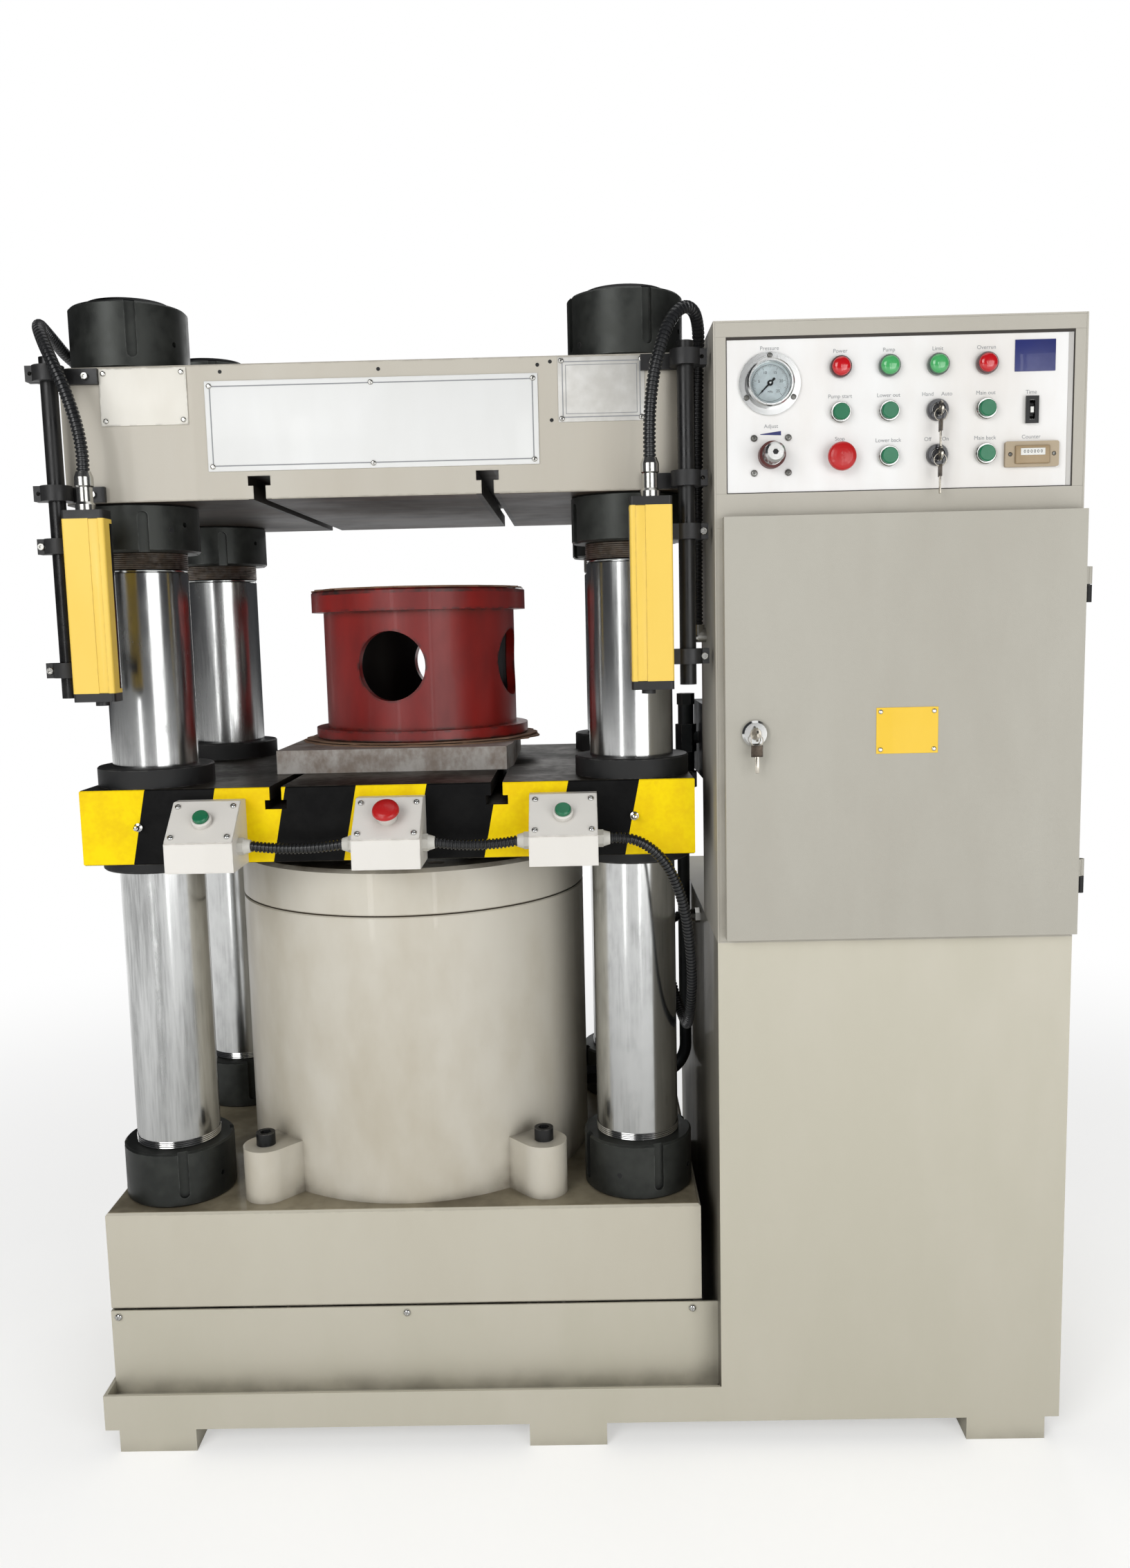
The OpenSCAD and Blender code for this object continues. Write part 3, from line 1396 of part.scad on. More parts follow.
// Steel plate on the table with a clipped corner
module load_plate() {
    w = load_plate_w / 2;
    color(bare_steel) place() translate([load_x, load_front, table_top]) linear_extrude(load_plate_t)
        polygon([[-w, 0], [w, 0], [w + 8, 60], [w + 8, load_plate_d], [-w, load_plate_d]]);
}

// Torn packing boards under and over the spacer
module packing_board() {
    r = spacer_flange_d / 2;
    drawn_r = 187;
    low = [[-214, -30], [-190, -96], [-120, -148], [-60, -176], [20, -190], [90, -178], [150, -146],
        [188, -94], [206, -20], [196, 60], [150, 120], [60, 150], [-60, 150], [-150, 120], [-200, 60]];
    top = [for (a = [0:20:340]) (r - 4 + 3 * sin(a * 5) + 2 * cos(a * 3)) * [cos(a), sin(a)]];
    color("#b9a186") place() translate([spacer_x, spacer_y, 0]) {
        translate([0, 0, load_top]) linear_extrude(card_low_t) polygon(r / drawn_r * low);
        translate([0, 0, spacer_top]) linear_extrude(card_top_t) polygon(top);
    }
}

// Flanged hollow spacer with four round windows
module spacer() {
    r = spacer_d / 2;
    flange = spacer_flange_d / 2;
    inside = r - spacer_wall;
    c = 3;
    window_z = (spacer_foot_t + spacer_h - spacer_top_t) / 2 + 8;
    color("#8e2f2a") place() translate([spacer_x, spacer_y, spacer_z]) difference() {
        rotate_extrude($fn = 96) polygon([[inside, 0], [flange - c, 0], [flange, c], [flange, spacer_foot_t],
            [r, spacer_foot_t], [r, spacer_h - spacer_top_t], [flange, spacer_h - spacer_top_t],
            [flange, spacer_h - c], [flange - c, spacer_h], [inside, spacer_h]]);
        for (a = [0, 90]) rotate([0, 0, a + spacer_turn]) translate([0, flange + 1, window_z])
            rotate([90, 0, 0]) cylinder(d = window_d, h = 2 * flange + 2);
    }
}

module two_hand_left() { color(green) place() on_lid(box_at[0]) push_head(); }
module two_hand_right() { color(green) place() on_lid(box_at[2]) push_head(); }
module table_stop() { color(red) place() on_lid(box_at[1]) mushroom_head(); }

base_frame();
cover_panels();
base_block();
column_front_left();
column_front_right();
column_rear_left();
column_rear_right();
crown_nuts();
base_nuts();
crown();
cylinder_body();
cylinder_gland();
cylinder_bolts();
cabinet_body();
control_panel();
panel_bezels();
pilot_lights_red();
pilot_lights_green();
gauge_case();
gauge_lens();
gauge_needle();
counter();
door_hinges();
electrical_plate();
power_unit();
valve_block();
hydraulic_pipe();
curtain_poles();
curtain_brackets();
light_curtains();
conduit_glands();
conduit_left();
conduit_right();
control_conduit();
table();
ram();
guide_bushes();
control_boxes();
box_glands();
conduit_links();
load_plate();
packing_board();
spacer();
door();
door_lock();
door_key();
pump_button();
lower_out_button();
lower_back_button();
main_out_button();
main_back_button();
panel_stop();
two_hand_left();
two_hand_right();
table_stop();
mode_key();
ejector_key();
pressure_knob();
time_wheel();
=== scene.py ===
"""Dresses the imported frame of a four-column hydraulic press and sets it in a plain studio.

Sizes are in millimetres in the design frame (ram axis at x = 0, y = 0, floor at z = 0, front towards -Y)
and become metres in the row frame through at().
"""

import json
import logging
import math
from dataclasses import dataclass, field
from enum import Enum
from typing import Callable, Iterable, Sequence

import bpy
from mathutils import Matrix, Vector


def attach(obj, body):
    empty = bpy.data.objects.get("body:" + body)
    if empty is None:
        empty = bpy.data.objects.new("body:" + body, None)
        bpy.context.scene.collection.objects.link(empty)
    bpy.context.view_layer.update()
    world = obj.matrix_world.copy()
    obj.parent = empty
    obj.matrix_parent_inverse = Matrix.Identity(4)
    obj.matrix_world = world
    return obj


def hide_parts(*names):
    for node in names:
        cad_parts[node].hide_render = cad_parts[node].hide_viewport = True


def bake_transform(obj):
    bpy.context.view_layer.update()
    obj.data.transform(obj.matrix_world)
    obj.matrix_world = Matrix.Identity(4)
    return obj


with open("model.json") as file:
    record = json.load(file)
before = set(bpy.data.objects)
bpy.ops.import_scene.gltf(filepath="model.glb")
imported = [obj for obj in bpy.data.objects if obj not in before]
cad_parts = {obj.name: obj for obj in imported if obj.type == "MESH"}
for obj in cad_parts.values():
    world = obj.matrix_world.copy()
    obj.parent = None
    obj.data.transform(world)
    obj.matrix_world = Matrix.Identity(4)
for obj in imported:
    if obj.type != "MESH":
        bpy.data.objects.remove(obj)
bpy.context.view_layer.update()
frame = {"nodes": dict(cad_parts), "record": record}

LOG = logging.getLogger("press")
SHIFT = Vector((268.5, -24.0, 0.0))
MM = 0.001
FRONT = (0.0, -1.0, 0.0)
UP = (0.0, 0.0, 1.0)
Point = Sequence[float]
Colour = tuple[int, int, int]


def at(x: float, y: float, z: float) -> Vector:
    """Turns a design point in millimetres into a row-frame point in metres."""
    return (Vector((x, y, z)) - SHIFT) * MM


def linear(colour: Colour, alpha: float = 1.0) -> tuple[float, float, float, float]:
    """Turns an 8-bit display colour into a linear colour."""
    parts = [c / 255 for c in colour]
    flat = [p / 12.92 if p <= 0.04045 else ((p + 0.055) / 1.055) ** 2.4 for p in parts]
    return (flat[0], flat[1], flat[2], alpha)


class Body(Enum):
    """The moving bodies that pieces ride on."""

    FRAME = "frame"
    TABLE = "table"
    DOOR = "door"
    DOOR_KEY = "door_key_body"
    MODE_KEY = "mode_key_body"
    EJECTOR_KEY = "ejector_key_body"
    TIME_WHEEL = "time_wheel_body"
    KNOB = "pressure_knob_body"


class Graph:
    """A node tree with short calls to add, set and link its nodes."""

    def __init__(self, tree: bpy.types.NodeTree) -> None:
        """Wraps a node tree."""
        self.tree = tree

    def put(self, socket: bpy.types.NodeSocket, value: object) -> None:
        """Links a socket to an output, or sets its own value.

        Args:
            socket: The input to feed.
            value: An output socket, or a plain value.
        """
        if isinstance(value, bpy.types.NodeSocket):
            self.tree.links.new(value, socket)
        else:
            socket.default_value = value

    def add(self, kind: str, inputs: dict | None = None, **settings: object) -> bpy.types.Node:
        """Adds a node.

        Args:
            kind: The node's type name.
            inputs: Values or outputs for its sockets, by name or number.
            settings: The node's own properties.

        Returns:
            The new node.
        """
        node = self.tree.nodes.new(kind)
        for key, value in settings.items():
            setattr(node, key, value)
        for key, value in (inputs or {}).items():
            self.put(node.inputs[key], value)
        return node

    def math(self, operation: str, a: object, b: object = 0.0) -> bpy.types.NodeSocket:
        """Adds a clamped-free math node and returns its value."""
        return self.add("ShaderNodeMath", {0: a, 1: b}, operation=operation).outputs[0]

    def ramp(self, value: object, low: float, high: float, smooth: bool = True) -> bpy.types.NodeSocket:
        """Maps a value from low..high to 0..1.

        Args:
            value: The value to map.
            low: What becomes 0.
            high: What becomes 1.
            smooth: Whether the ends are eased.

        Returns:
            The mapped value.
        """
        kind = "SMOOTHSTEP" if smooth else "LINEAR"
        node = self.add("ShaderNodeMapRange", {0: value, 1: low, 2: high, 3: 0.0, 4: 1.0}, interpolation_type=kind)
        return node.outputs[0]

    def mix(self, a: object, b: object, mask: object) -> bpy.types.NodeSocket:
        """Mixes two colours by a mask."""
        return self.add("ShaderNodeMix", {0: mask, 6: a, 7: b}, data_type="RGBA").outputs[2]

    def blend(self, a: float, b: float, mask: object) -> bpy.types.NodeSocket:
        """Mixes two numbers by a mask."""
        return self.add("ShaderNodeMix", {0: mask, 2: a, 3: b}, data_type="FLOAT").outputs[0]

    def effect(self, group: bpy.types.NodeTree, **inputs: object) -> bpy.types.NodeSocket:
        """Adds a shared effect.

        Args:
            group: The effect's node group.
            inputs: Its settings; underscores stand for spaces.

        Returns:
            The effect's one output.
        """
        node = self.add("ShaderNodeGroup", node_tree=group)
        for key, value in inputs.items():
            self.put(node.inputs[key.replace("_", " ")], value)
        return node.outputs[0]


class Effects:
    """The shader effects that several finishes share, each made once as a node group."""

    made: dict[str, bpy.types.NodeTree] = {}

    @classmethod
    def group(cls, name: str, inputs: dict[str, object], output: tuple[str, str],
              fill: Callable[[Graph, bpy.types.Node], bpy.types.NodeSocket]) -> bpy.types.NodeTree:
        """Returns a node group, building it at its first use.

        Args:
            name: The group's name.
            inputs: Its settings with their usual values.
            output: The output's name and socket type.
            fill: Adds the inner nodes and returns the value to put out.

        Returns:
            The node group.
        """
        if name in cls.made:
            return cls.made[name]
        tree = bpy.data.node_groups.new(name, "ShaderNodeTree")
        kinds = {float: "NodeSocketFloat", tuple: "NodeSocketColor", Vector: "NodeSocketVector"}
        for label, value in inputs.items():
            socket = tree.interface.new_socket(label, in_out="INPUT", socket_type=kinds[type(value)])
            socket.default_value = value
        tree.interface.new_socket(output[0], in_out="OUTPUT", socket_type=output[1])
        graph = Graph(tree)
        entry = graph.add("NodeGroupInput")
        result = fill(graph, entry)
        graph.add("NodeGroupOutput", {0: result})
        cls.made[name] = tree
        return tree

    @staticmethod
    def place(graph: Graph, stretch: object = None) -> bpy.types.NodeSocket:
        """Returns the object coordinates, stretched by a vector if one is given."""
        place = graph.add("ShaderNodeTexCoord").outputs["Object"]
        if stretch is None:
            return place
        return graph.add("ShaderNodeVectorMath", {0: place, 1: stretch}, operation="MULTIPLY").outputs[0]

    @staticmethod
    def noise(graph: Graph, place: object, scale: object, detail: float = 4.0) -> bpy.types.NodeSocket:
        """Returns fractal noise at a scale."""
        return graph.add("ShaderNodeTexNoise", {"Vector": place, "Scale": scale, "Detail": detail}).outputs[0]

    @classmethod
    def cloud(cls) -> bpy.types.NodeTree:
        """A soft cloudy value, stretched along any axis."""
        def fill(graph: Graph, entry: bpy.types.Node) -> bpy.types.NodeSocket:
            """Adds two octaves of noise."""
            place = cls.place(graph, entry.outputs["Stretch"])
            large = cls.noise(graph, place, entry.outputs["Scale"], 3.0)
            small = cls.noise(graph, place, graph.math("MULTIPLY", entry.outputs["Scale"], 7.3), 5.0)
            both = graph.math("ADD", graph.math("MULTIPLY", large, 0.68), graph.math("MULTIPLY", small, 0.32))
            return graph.ramp(both, 0.34, 0.66)
        return cls.group("Cloud", {"Scale": 4.0, "Stretch": Vector((1, 1, 1))}, ("Value", "NodeSocketFloat"), fill)

    @classmethod
    def grain(cls) -> bpy.types.NodeTree:
        """A fine even height, for orange peel and powder coat."""
        def fill(graph: Graph, entry: bpy.types.Node) -> bpy.types.NodeSocket:
            """Adds fine noise."""
            return cls.noise(graph, cls.place(graph, entry.outputs["Stretch"]), entry.outputs["Scale"], 2.0)
        return cls.group("Grain", {"Scale": 300.0, "Stretch": Vector((1, 1, 1))}, ("Height", "NodeSocketFloat"), fill)

    @classmethod
    def wear(cls) -> bpy.types.NodeTree:
        """A broken mask along outer edges."""
        def fill(graph: Graph, entry: bpy.types.Node) -> bpy.types.NodeSocket:
            """Compares the surface with its rounded self."""
            soft = graph.add("ShaderNodeBevel", {"Radius": entry.outputs["Radius"]}, samples=4).outputs[0]
            hard = graph.add("ShaderNodeNewGeometry").outputs["Normal"]
            dot = graph.add("ShaderNodeVectorMath", {0: soft, 1: hard}, operation="DOT_PRODUCT").outputs["Value"]
            edge = graph.ramp(graph.math("SUBTRACT", 1.0, dot), 0.006, 0.07)
            chips = graph.ramp(cls.noise(graph, cls.place(graph), entry.outputs["Scale"], 6.0), 0.38, 0.62)
            return graph.math("MULTIPLY", graph.math("MULTIPLY", edge, chips), entry.outputs["Amount"])
        return cls.group("Edge wear", {"Radius": 0.003, "Scale": 60.0, "Amount": 1.0},
                         ("Mask", "NodeSocketFloat"), fill)

    @classmethod
    def grime(cls) -> bpy.types.NodeTree:
        """A mask of dirt and painted shade that gathers in corners."""
        def fill(graph: Graph, entry: bpy.types.Node) -> bpy.types.NodeSocket:
            """Combines closeness, which paints shade into corners, with noise that breaks it up as dirt."""
            # Closeness to other surfaces stands in for shade: painted shade, not only dirt.
            open_air = graph.add("ShaderNodeAmbientOcclusion", {"Distance": entry.outputs["Reach"]}, samples=4)
            shade_near = graph.ramp(graph.math("SUBTRACT", 1.0, open_air.outputs["AO"]), 0.15, 0.75)
            patch = graph.ramp(cls.noise(graph, cls.place(graph), 14.0, 6.0), 0.3, 0.7)
            both = graph.math("MULTIPLY", shade_near, graph.math("ADD", graph.math("MULTIPLY", patch, 0.7), 0.3))
            return graph.math("MULTIPLY", both, entry.outputs["Amount"])
        return cls.group("Grime", {"Reach": 0.06, "Amount": 0.6}, ("Mask", "NodeSocketFloat"), fill)

    @classmethod
    def zone(cls) -> bpy.types.NodeTree:
        """A mask that is 1 inside a box of the row frame."""
        def fill(graph: Graph, entry: bpy.types.Node) -> bpy.types.NodeSocket:
            """Tests each coordinate against both corners."""
            place = graph.add("ShaderNodeSeparateXYZ", {0: cls.place(graph)})
            low = graph.add("ShaderNodeSeparateXYZ", {0: entry.outputs["Low"]})
            high = graph.add("ShaderNodeSeparateXYZ", {0: entry.outputs["High"]})
            mask: object = 1.0
            for axis in range(3):
                above = graph.math("GREATER_THAN", place.outputs[axis], low.outputs[axis])
                below = graph.math("LESS_THAN", place.outputs[axis], high.outputs[axis])
                mask = graph.math("MULTIPLY", mask, graph.math("MULTIPLY", above, below))
            return mask
        return cls.group("Zone", {"Low": Vector((0, 0, 0)), "High": Vector((1, 1, 1))},
                         ("Mask", "NodeSocketFloat"), fill)

    @classmethod
    def bands(cls) -> bpy.types.NodeTree:
        """A mask of slanted bands along X."""
        def fill(graph: Graph, entry: bpy.types.Node) -> bpy.types.NodeSocket:
            """Counts bands from a start and keeps every other one."""
            place = graph.add("ShaderNodeSeparateXYZ", {0: cls.place(graph)})
            lean = graph.math("MULTIPLY", graph.math("SUBTRACT", entry.outputs["Top"], place.outputs[2]),
                              entry.outputs["Slant"])
            along = graph.math("SUBTRACT", graph.math("ADD", place.outputs[0], lean), entry.outputs["Start"])
            part = graph.math("FRACT", graph.math("DIVIDE", along, graph.math("MULTIPLY", entry.outputs["Pitch"], 2.0)))
            return graph.math("LESS_THAN", part, 0.5)
        return cls.group("Bands", {"Start": 0.0, "Pitch": 0.1, "Slant": 0.2, "Top": 1.0},
                         ("Mask", "NodeSocketFloat"), fill)


@dataclass(frozen=True)
class Finish:
    """A finish for one material slot of the record; its subclasses know how to dress a shader."""

    slot: str
    colour: Colour
    rough: float = 0.5

    def material(self) -> bpy.types.Material:
        """Returns the finish's material, building it at its first use."""
        label = f"{self.slot}_{type(self).__name__.lower()}_{'_'.join(str(c) for c in self.colour)}"
        found = bpy.data.materials.get(label)
        if found:
            return found
        made = bpy.data.materials.new(label)
        made.use_nodes = True
        graph = Graph(made.node_tree)
        shader = made.node_tree.nodes["Principled BSDF"]
        self.dress(graph, shader)
        return made

    def dress(self, graph: Graph, shader: bpy.types.Node) -> None:
        """Feeds the shader; each kind of finish has its own."""
        raise NotImplementedError

    def bump(self, graph: Graph, shader: bpy.types.Node, height: object, strength: float, depth: float) -> None:
        """Feeds the shader's normal from a height.

        Args:
            graph: The material's nodes.
            shader: The shader to feed.
            height: The height's output.
            strength: How much of the bump shows.
            depth: The height's size in metres.
        """
        node = graph.add("ShaderNodeBump", {"Height": height, "Strength": strength, "Distance": depth})
        graph.put(shader.inputs["Normal"], node.outputs[0])


@dataclass(frozen=True)
class Paint(Finish):
    """Sprayed enamel or powder coat with faint clouds, dirt and painted shade in its corners, and worn edges."""

    shade: Colour = (180, 174, 158)
    stretch: tuple[float, float, float] = (1.0, 1.0, 0.35)
    clouds: float = 0.35
    grime: float = 0.5
    wear: float = 0.0
    edge: float = 0.004
    bare: Colour = (92, 84, 74)
    peel: float = 420.0
    relief: float = 0.12
    coat: float = 0.1

    def dress(self, graph: Graph, shader: bpy.types.Node) -> None:
        """Feeds the shader with clouded paint."""
        cloud = graph.effect(Effects.cloud(), Scale=3.1, Stretch=Vector(self.stretch))
        colour = graph.mix(linear(self.colour), linear(self.shade), graph.math("MULTIPLY", cloud, self.clouds))
        colour = self.marks(graph, colour)
        # Brown laid into corners by closeness: part dirt, part painted shade.
        dirt_and_shade = graph.effect(Effects.grime(), Reach=0.05, Amount=self.grime)
        colour = graph.mix(colour, linear((74, 64, 48)), dirt_and_shade)
        rough = graph.blend(self.rough, min(self.rough + 0.16, 1.0), cloud)
        if self.wear:
            worn = graph.effect(Effects.wear(), Radius=self.edge, Scale=70.0, Amount=self.wear)
            colour = graph.mix(colour, linear(self.bare), worn)
        graph.put(shader.inputs["Base Color"], colour)
        graph.put(shader.inputs["Roughness"], rough)
        graph.put(shader.inputs["Coat Weight"], self.coat)
        self.bump(graph, shader, graph.effect(Effects.grain(), Scale=self.peel), self.relief, 0.0006)

    def marks(self, graph: Graph, colour: object) -> object:
        """Returns the colour with any marks of its own; plain paint has none."""
        return colour


@dataclass(frozen=True)
class CylinderPaint(Paint):
    """Enamel with the dark joint line round the cylinder."""

    seam: float = 830.0

    def marks(self, graph: Graph, colour: object) -> object:
        """Draws the joint line."""
        line = graph.effect(Effects.zone(), Low=at(-300, -300, self.seam - 1.1), High=at(300, 300, self.seam + 1.1))
        return graph.mix(colour, linear((38, 30, 22)), line)


@dataclass(frozen=True)
class CrownPaint(Paint):
    """Enamel on the crown, with a bare oily underside and slots painted near-black as shade."""

    def marks(self, graph: Graph, colour: object) -> object:
        """Lays the bare underside over the paint, and painted shade in the slots."""
        streak = graph.effect(Effects.cloud(), Scale=16.0, Stretch=Vector((0.12, 1.0, 1.0)))
        bare = graph.mix(linear((20, 18, 16)), linear((64, 52, 42)), streak)
        under = graph.effect(Effects.zone(), Low=at(-470, -310, 1450), High=at(470, 310, 1458.6))
        colour = graph.mix(colour, bare, under)
        # The slots' insides are painted near-black: painted shade in the recesses.
        for x in (-166.5, 166.5):
            slot = graph.effect(Effects.zone(), Low=at(x - 16.8, -299, 1450), High=at(x + 16.8, 299, 1492.6))
            colour = graph.mix(colour, linear((16, 15, 14)), slot)
        return colour


@dataclass(frozen=True)
class BlockPaint(Paint):
    """Enamel on the base block, with a dirty, oily top that is also darkened as painted shade."""

    def marks(self, graph: Graph, colour: object) -> object:
        """Lays dirt and painted shade over the top face."""
        # The top face is darker: part dirt, part painted shade of a face that takes less light.
        top = graph.effect(Effects.zone(), Low=at(-480, -330, 369.2), High=at(480, 330, 372))
        patch = graph.effect(Effects.cloud(), Scale=7.0, Stretch=Vector((1, 1, 1)))
        dirt_and_shade = graph.mix(linear((150, 140, 116)), linear((104, 94, 72)), patch)
        return graph.mix(colour, dirt_and_shade, graph.math("MULTIPLY", top, 0.9))


@dataclass(frozen=True)
class SpacerPaint(Paint):
    """Red enamel with a darker bore and burnt rims."""

    bore: float = 152.5
    rim: float = 1325.0

    def marks(self, graph: Graph, colour: object) -> object:
        """Darkens the bore, the top rim and the foot."""
        middle = graph.add("ShaderNodeVectorMath", {0: Effects.place(graph), 1: at(13, 80, 0)}, operation="SUBTRACT")
        flat = graph.add("ShaderNodeVectorMath", {0: middle.outputs[0], 1: Vector((1, 1, 0))}, operation="MULTIPLY")
        reach = graph.add("ShaderNodeVectorMath", {0: flat.outputs[0]}, operation="LENGTH").outputs["Value"]
        colour = graph.mix(linear((26, 19, 18)), colour, graph.math("GREATER_THAN", reach, self.bore * MM))
        patch = graph.effect(Effects.cloud(), Scale=15.0, Stretch=Vector((1, 1, 1)))
        for low, high in ((self.rim, 1340.0), (1070.0, 1083.0)):
            rim = graph.effect(Effects.zone(), Low=at(-200, -150, low), High=at(230, 310, high))
            colour = graph.mix(colour, linear((44, 30, 27)), graph.math("MULTIPLY", rim, patch))
        return colour


@dataclass(frozen=True)
class WallPaint(Paint):
    """Enamel on the housing or cabinet, with streaked painted shade on the wall towards the press."""

    wall: float = 490.0
    grease: float = 0.8

    def marks(self, graph: Graph, colour: object) -> object:
        """Darkens the wall that faces the columns with streaked painted shade, where the columns shade it."""
        # Painted shade of the columns on this wall, broken into streaks.
        side = graph.effect(Effects.zone(), Low=at(self.wall - 2, -353.5, 0), High=at(self.wall + 0.8, 360, 1690))
        streak = graph.effect(Effects.cloud(), Scale=9.0, Stretch=Vector((1.0, 1.0, 0.1)))
        grease = graph.mix(linear((112, 106, 96)), linear((70, 66, 60)), streak)
        return graph.mix(colour, grease, graph.math("MULTIPLY", side, self.grease))


@dataclass(frozen=True)
class Metal(Finish):
    """Worked or blackened steel with stains, fine scratches and bright edges."""

    shade: Colour = (60, 56, 50)
    metallic: float = 0.7
    stretch: tuple[float, float, float] = (1.0, 1.0, 1.0)
    scale: float = 9.0
    wear: float = 0.5
    edge: Colour = (150, 148, 144)
    relief: float = 0.15

    def dress(self, graph: Graph, shader: bpy.types.Node) -> None:
        """Feeds the shader with stained metal."""
        cloud = graph.effect(Effects.cloud(), Scale=self.scale, Stretch=Vector(self.stretch))
        colour = graph.mix(linear(self.colour), linear(self.shade), cloud)
        if self.wear:
            worn = graph.effect(Effects.wear(), Radius=0.002, Scale=90.0, Amount=self.wear)
            colour = graph.mix(colour, linear(self.edge), worn)
        colour, metallic = self.marks(graph, colour)
        graph.put(shader.inputs["Base Color"], colour)
        graph.put(shader.inputs["Metallic"], metallic)
        graph.put(shader.inputs["Roughness"], graph.blend(self.rough, min(self.rough + 0.2, 1.0), cloud))
        fine = graph.effect(Effects.grain(), Scale=260.0, Stretch=Vector(self.stretch))
        self.bump(graph, shader, fine, self.relief, 0.0004)

    def marks(self, graph: Graph, colour: object) -> tuple[object, object]:
        """Returns the colour and metalness with any marks of its own; plain metal has none."""
        return colour, self.metallic


@dataclass(frozen=True)
class TableSteel(Metal):
    """Oily machined steel whose front carries yellow and black bands."""

    def dress(self, graph: Graph, shader: bpy.types.Node) -> None:
        """Feeds the shader as for other steel, with paint that shines less."""
        super().dress(graph, shader)
        graph.put(shader.inputs["Specular IOR Level"], 0.12)

    def marks(self, graph: Graph, colour: object) -> tuple[object, object]:
        """Paints the bands on the front face."""
        front = graph.effect(Effects.zone(), Low=at(-470, -310, 900), High=at(470, -298.6, 1050))
        band = graph.effect(Effects.bands(), Start=at(-470, 0, 0).x, Pitch=0.1063, Slant=0.2, Top=1.035)
        worn = graph.effect(Effects.cloud(), Scale=22.0, Stretch=Vector((1, 1, 1)))
        yellow = graph.mix(linear((253, 222, 0)), linear((242, 204, 4)), worn)
        black = graph.mix(linear((4, 4, 5)), linear((13, 13, 13)), worn)
        paint = graph.mix(black, yellow, band)
        bright = graph.math("SUBTRACT", 1.0, front)
        return graph.mix(colour, paint, front), graph.math("MULTIPLY", bright, self.metallic)


@dataclass(frozen=True)
class Chrome(Finish):
    """Bright plating with smears, and dull black threads where zones are given."""

    smear: float = 0.16
    relief: float = 0.03
    stretch: tuple[float, float, float] = (1.0, 1.0, 0.06)
    dull: tuple[tuple[float, float], ...] = ()

    def dress(self, graph: Graph, shader: bpy.types.Node) -> None:
        """Feeds the shader with smeared plating."""
        streak = graph.effect(Effects.cloud(), Scale=38.0, Stretch=Vector(self.stretch))
        stain = graph.effect(Effects.cloud(), Scale=7.0, Stretch=Vector((1.0, 1.0, 0.5)))
        shade = tuple(int(c * 0.72) for c in self.colour)
        smear = graph.math("MULTIPLY", graph.math("MULTIPLY", streak, stain), self.smear)
        colour = graph.mix(linear(self.colour), linear(shade), graph.math("MULTIPLY", smear, 6.0))
        rough = graph.math("ADD", self.rough, smear)
        for low, high in self.dull:
            zone = graph.effect(Effects.zone(), Low=at(-2000, -2000, low), High=at(2000, 2000, high))
            colour = graph.mix(colour, linear((30, 30, 31)), zone)
            rough = graph.blend(rough, 0.42, zone)
        graph.put(shader.inputs["Base Color"], colour)
        graph.put(shader.inputs["Metallic"], 1.0)
        graph.put(shader.inputs["Roughness"], rough)
        self.bump(graph, shader, graph.effect(Effects.grain(), Scale=120.0, Stretch=Vector(self.stretch)),
                  self.relief, 0.0003)


@dataclass(frozen=True)
class Plastic(Finish):
    """Moulded plastic or rubber with faint marbling and scuffs."""

    shade: Colour = (20, 20, 20)
    clouds: float = 0.3
    coat: float = 0.0
    through: float = 0.0

    def dress(self, graph: Graph, shader: bpy.types.Node) -> None:
        """Feeds the shader with scuffed plastic."""
        cloud = graph.effect(Effects.cloud(), Scale=24.0, Stretch=Vector((1, 1, 1)))
        mix = graph.math("MULTIPLY", cloud, self.clouds)
        graph.put(shader.inputs["Base Color"], graph.mix(linear(self.colour), linear(self.shade), mix))
        graph.put(shader.inputs["Roughness"], graph.blend(self.rough, min(self.rough + 0.15, 1.0), cloud))
        graph.put(shader.inputs["Coat Weight"], self.coat)
        graph.put(shader.inputs["Transmission Weight"], self.through)
        self.bump(graph, shader, graph.effect(Effects.grain(), Scale=700.0), 0.06, 0.0003)


@dataclass(frozen=True)
class Glass(Finish):
    """Thin clear glass with a trace of dust."""

    def dress(self, graph: Graph, shader: bpy.types.Node) -> None:
        """Feeds the shader with dusty glass."""
        dust = graph.effect(Effects.cloud(), Scale=30.0, Stretch=Vector((1, 1, 1)))
        graph.put(shader.inputs["Base Color"], graph.mix(linear(self.colour), linear((225, 228, 228)), dust))
        graph.put(shader.inputs["Roughness"], graph.blend(self.rough, self.rough + 0.05, dust))
        graph.put(shader.inputs["Transmission Weight"], 1.0)
        graph.put(shader.inputs["IOR"], 1.12)


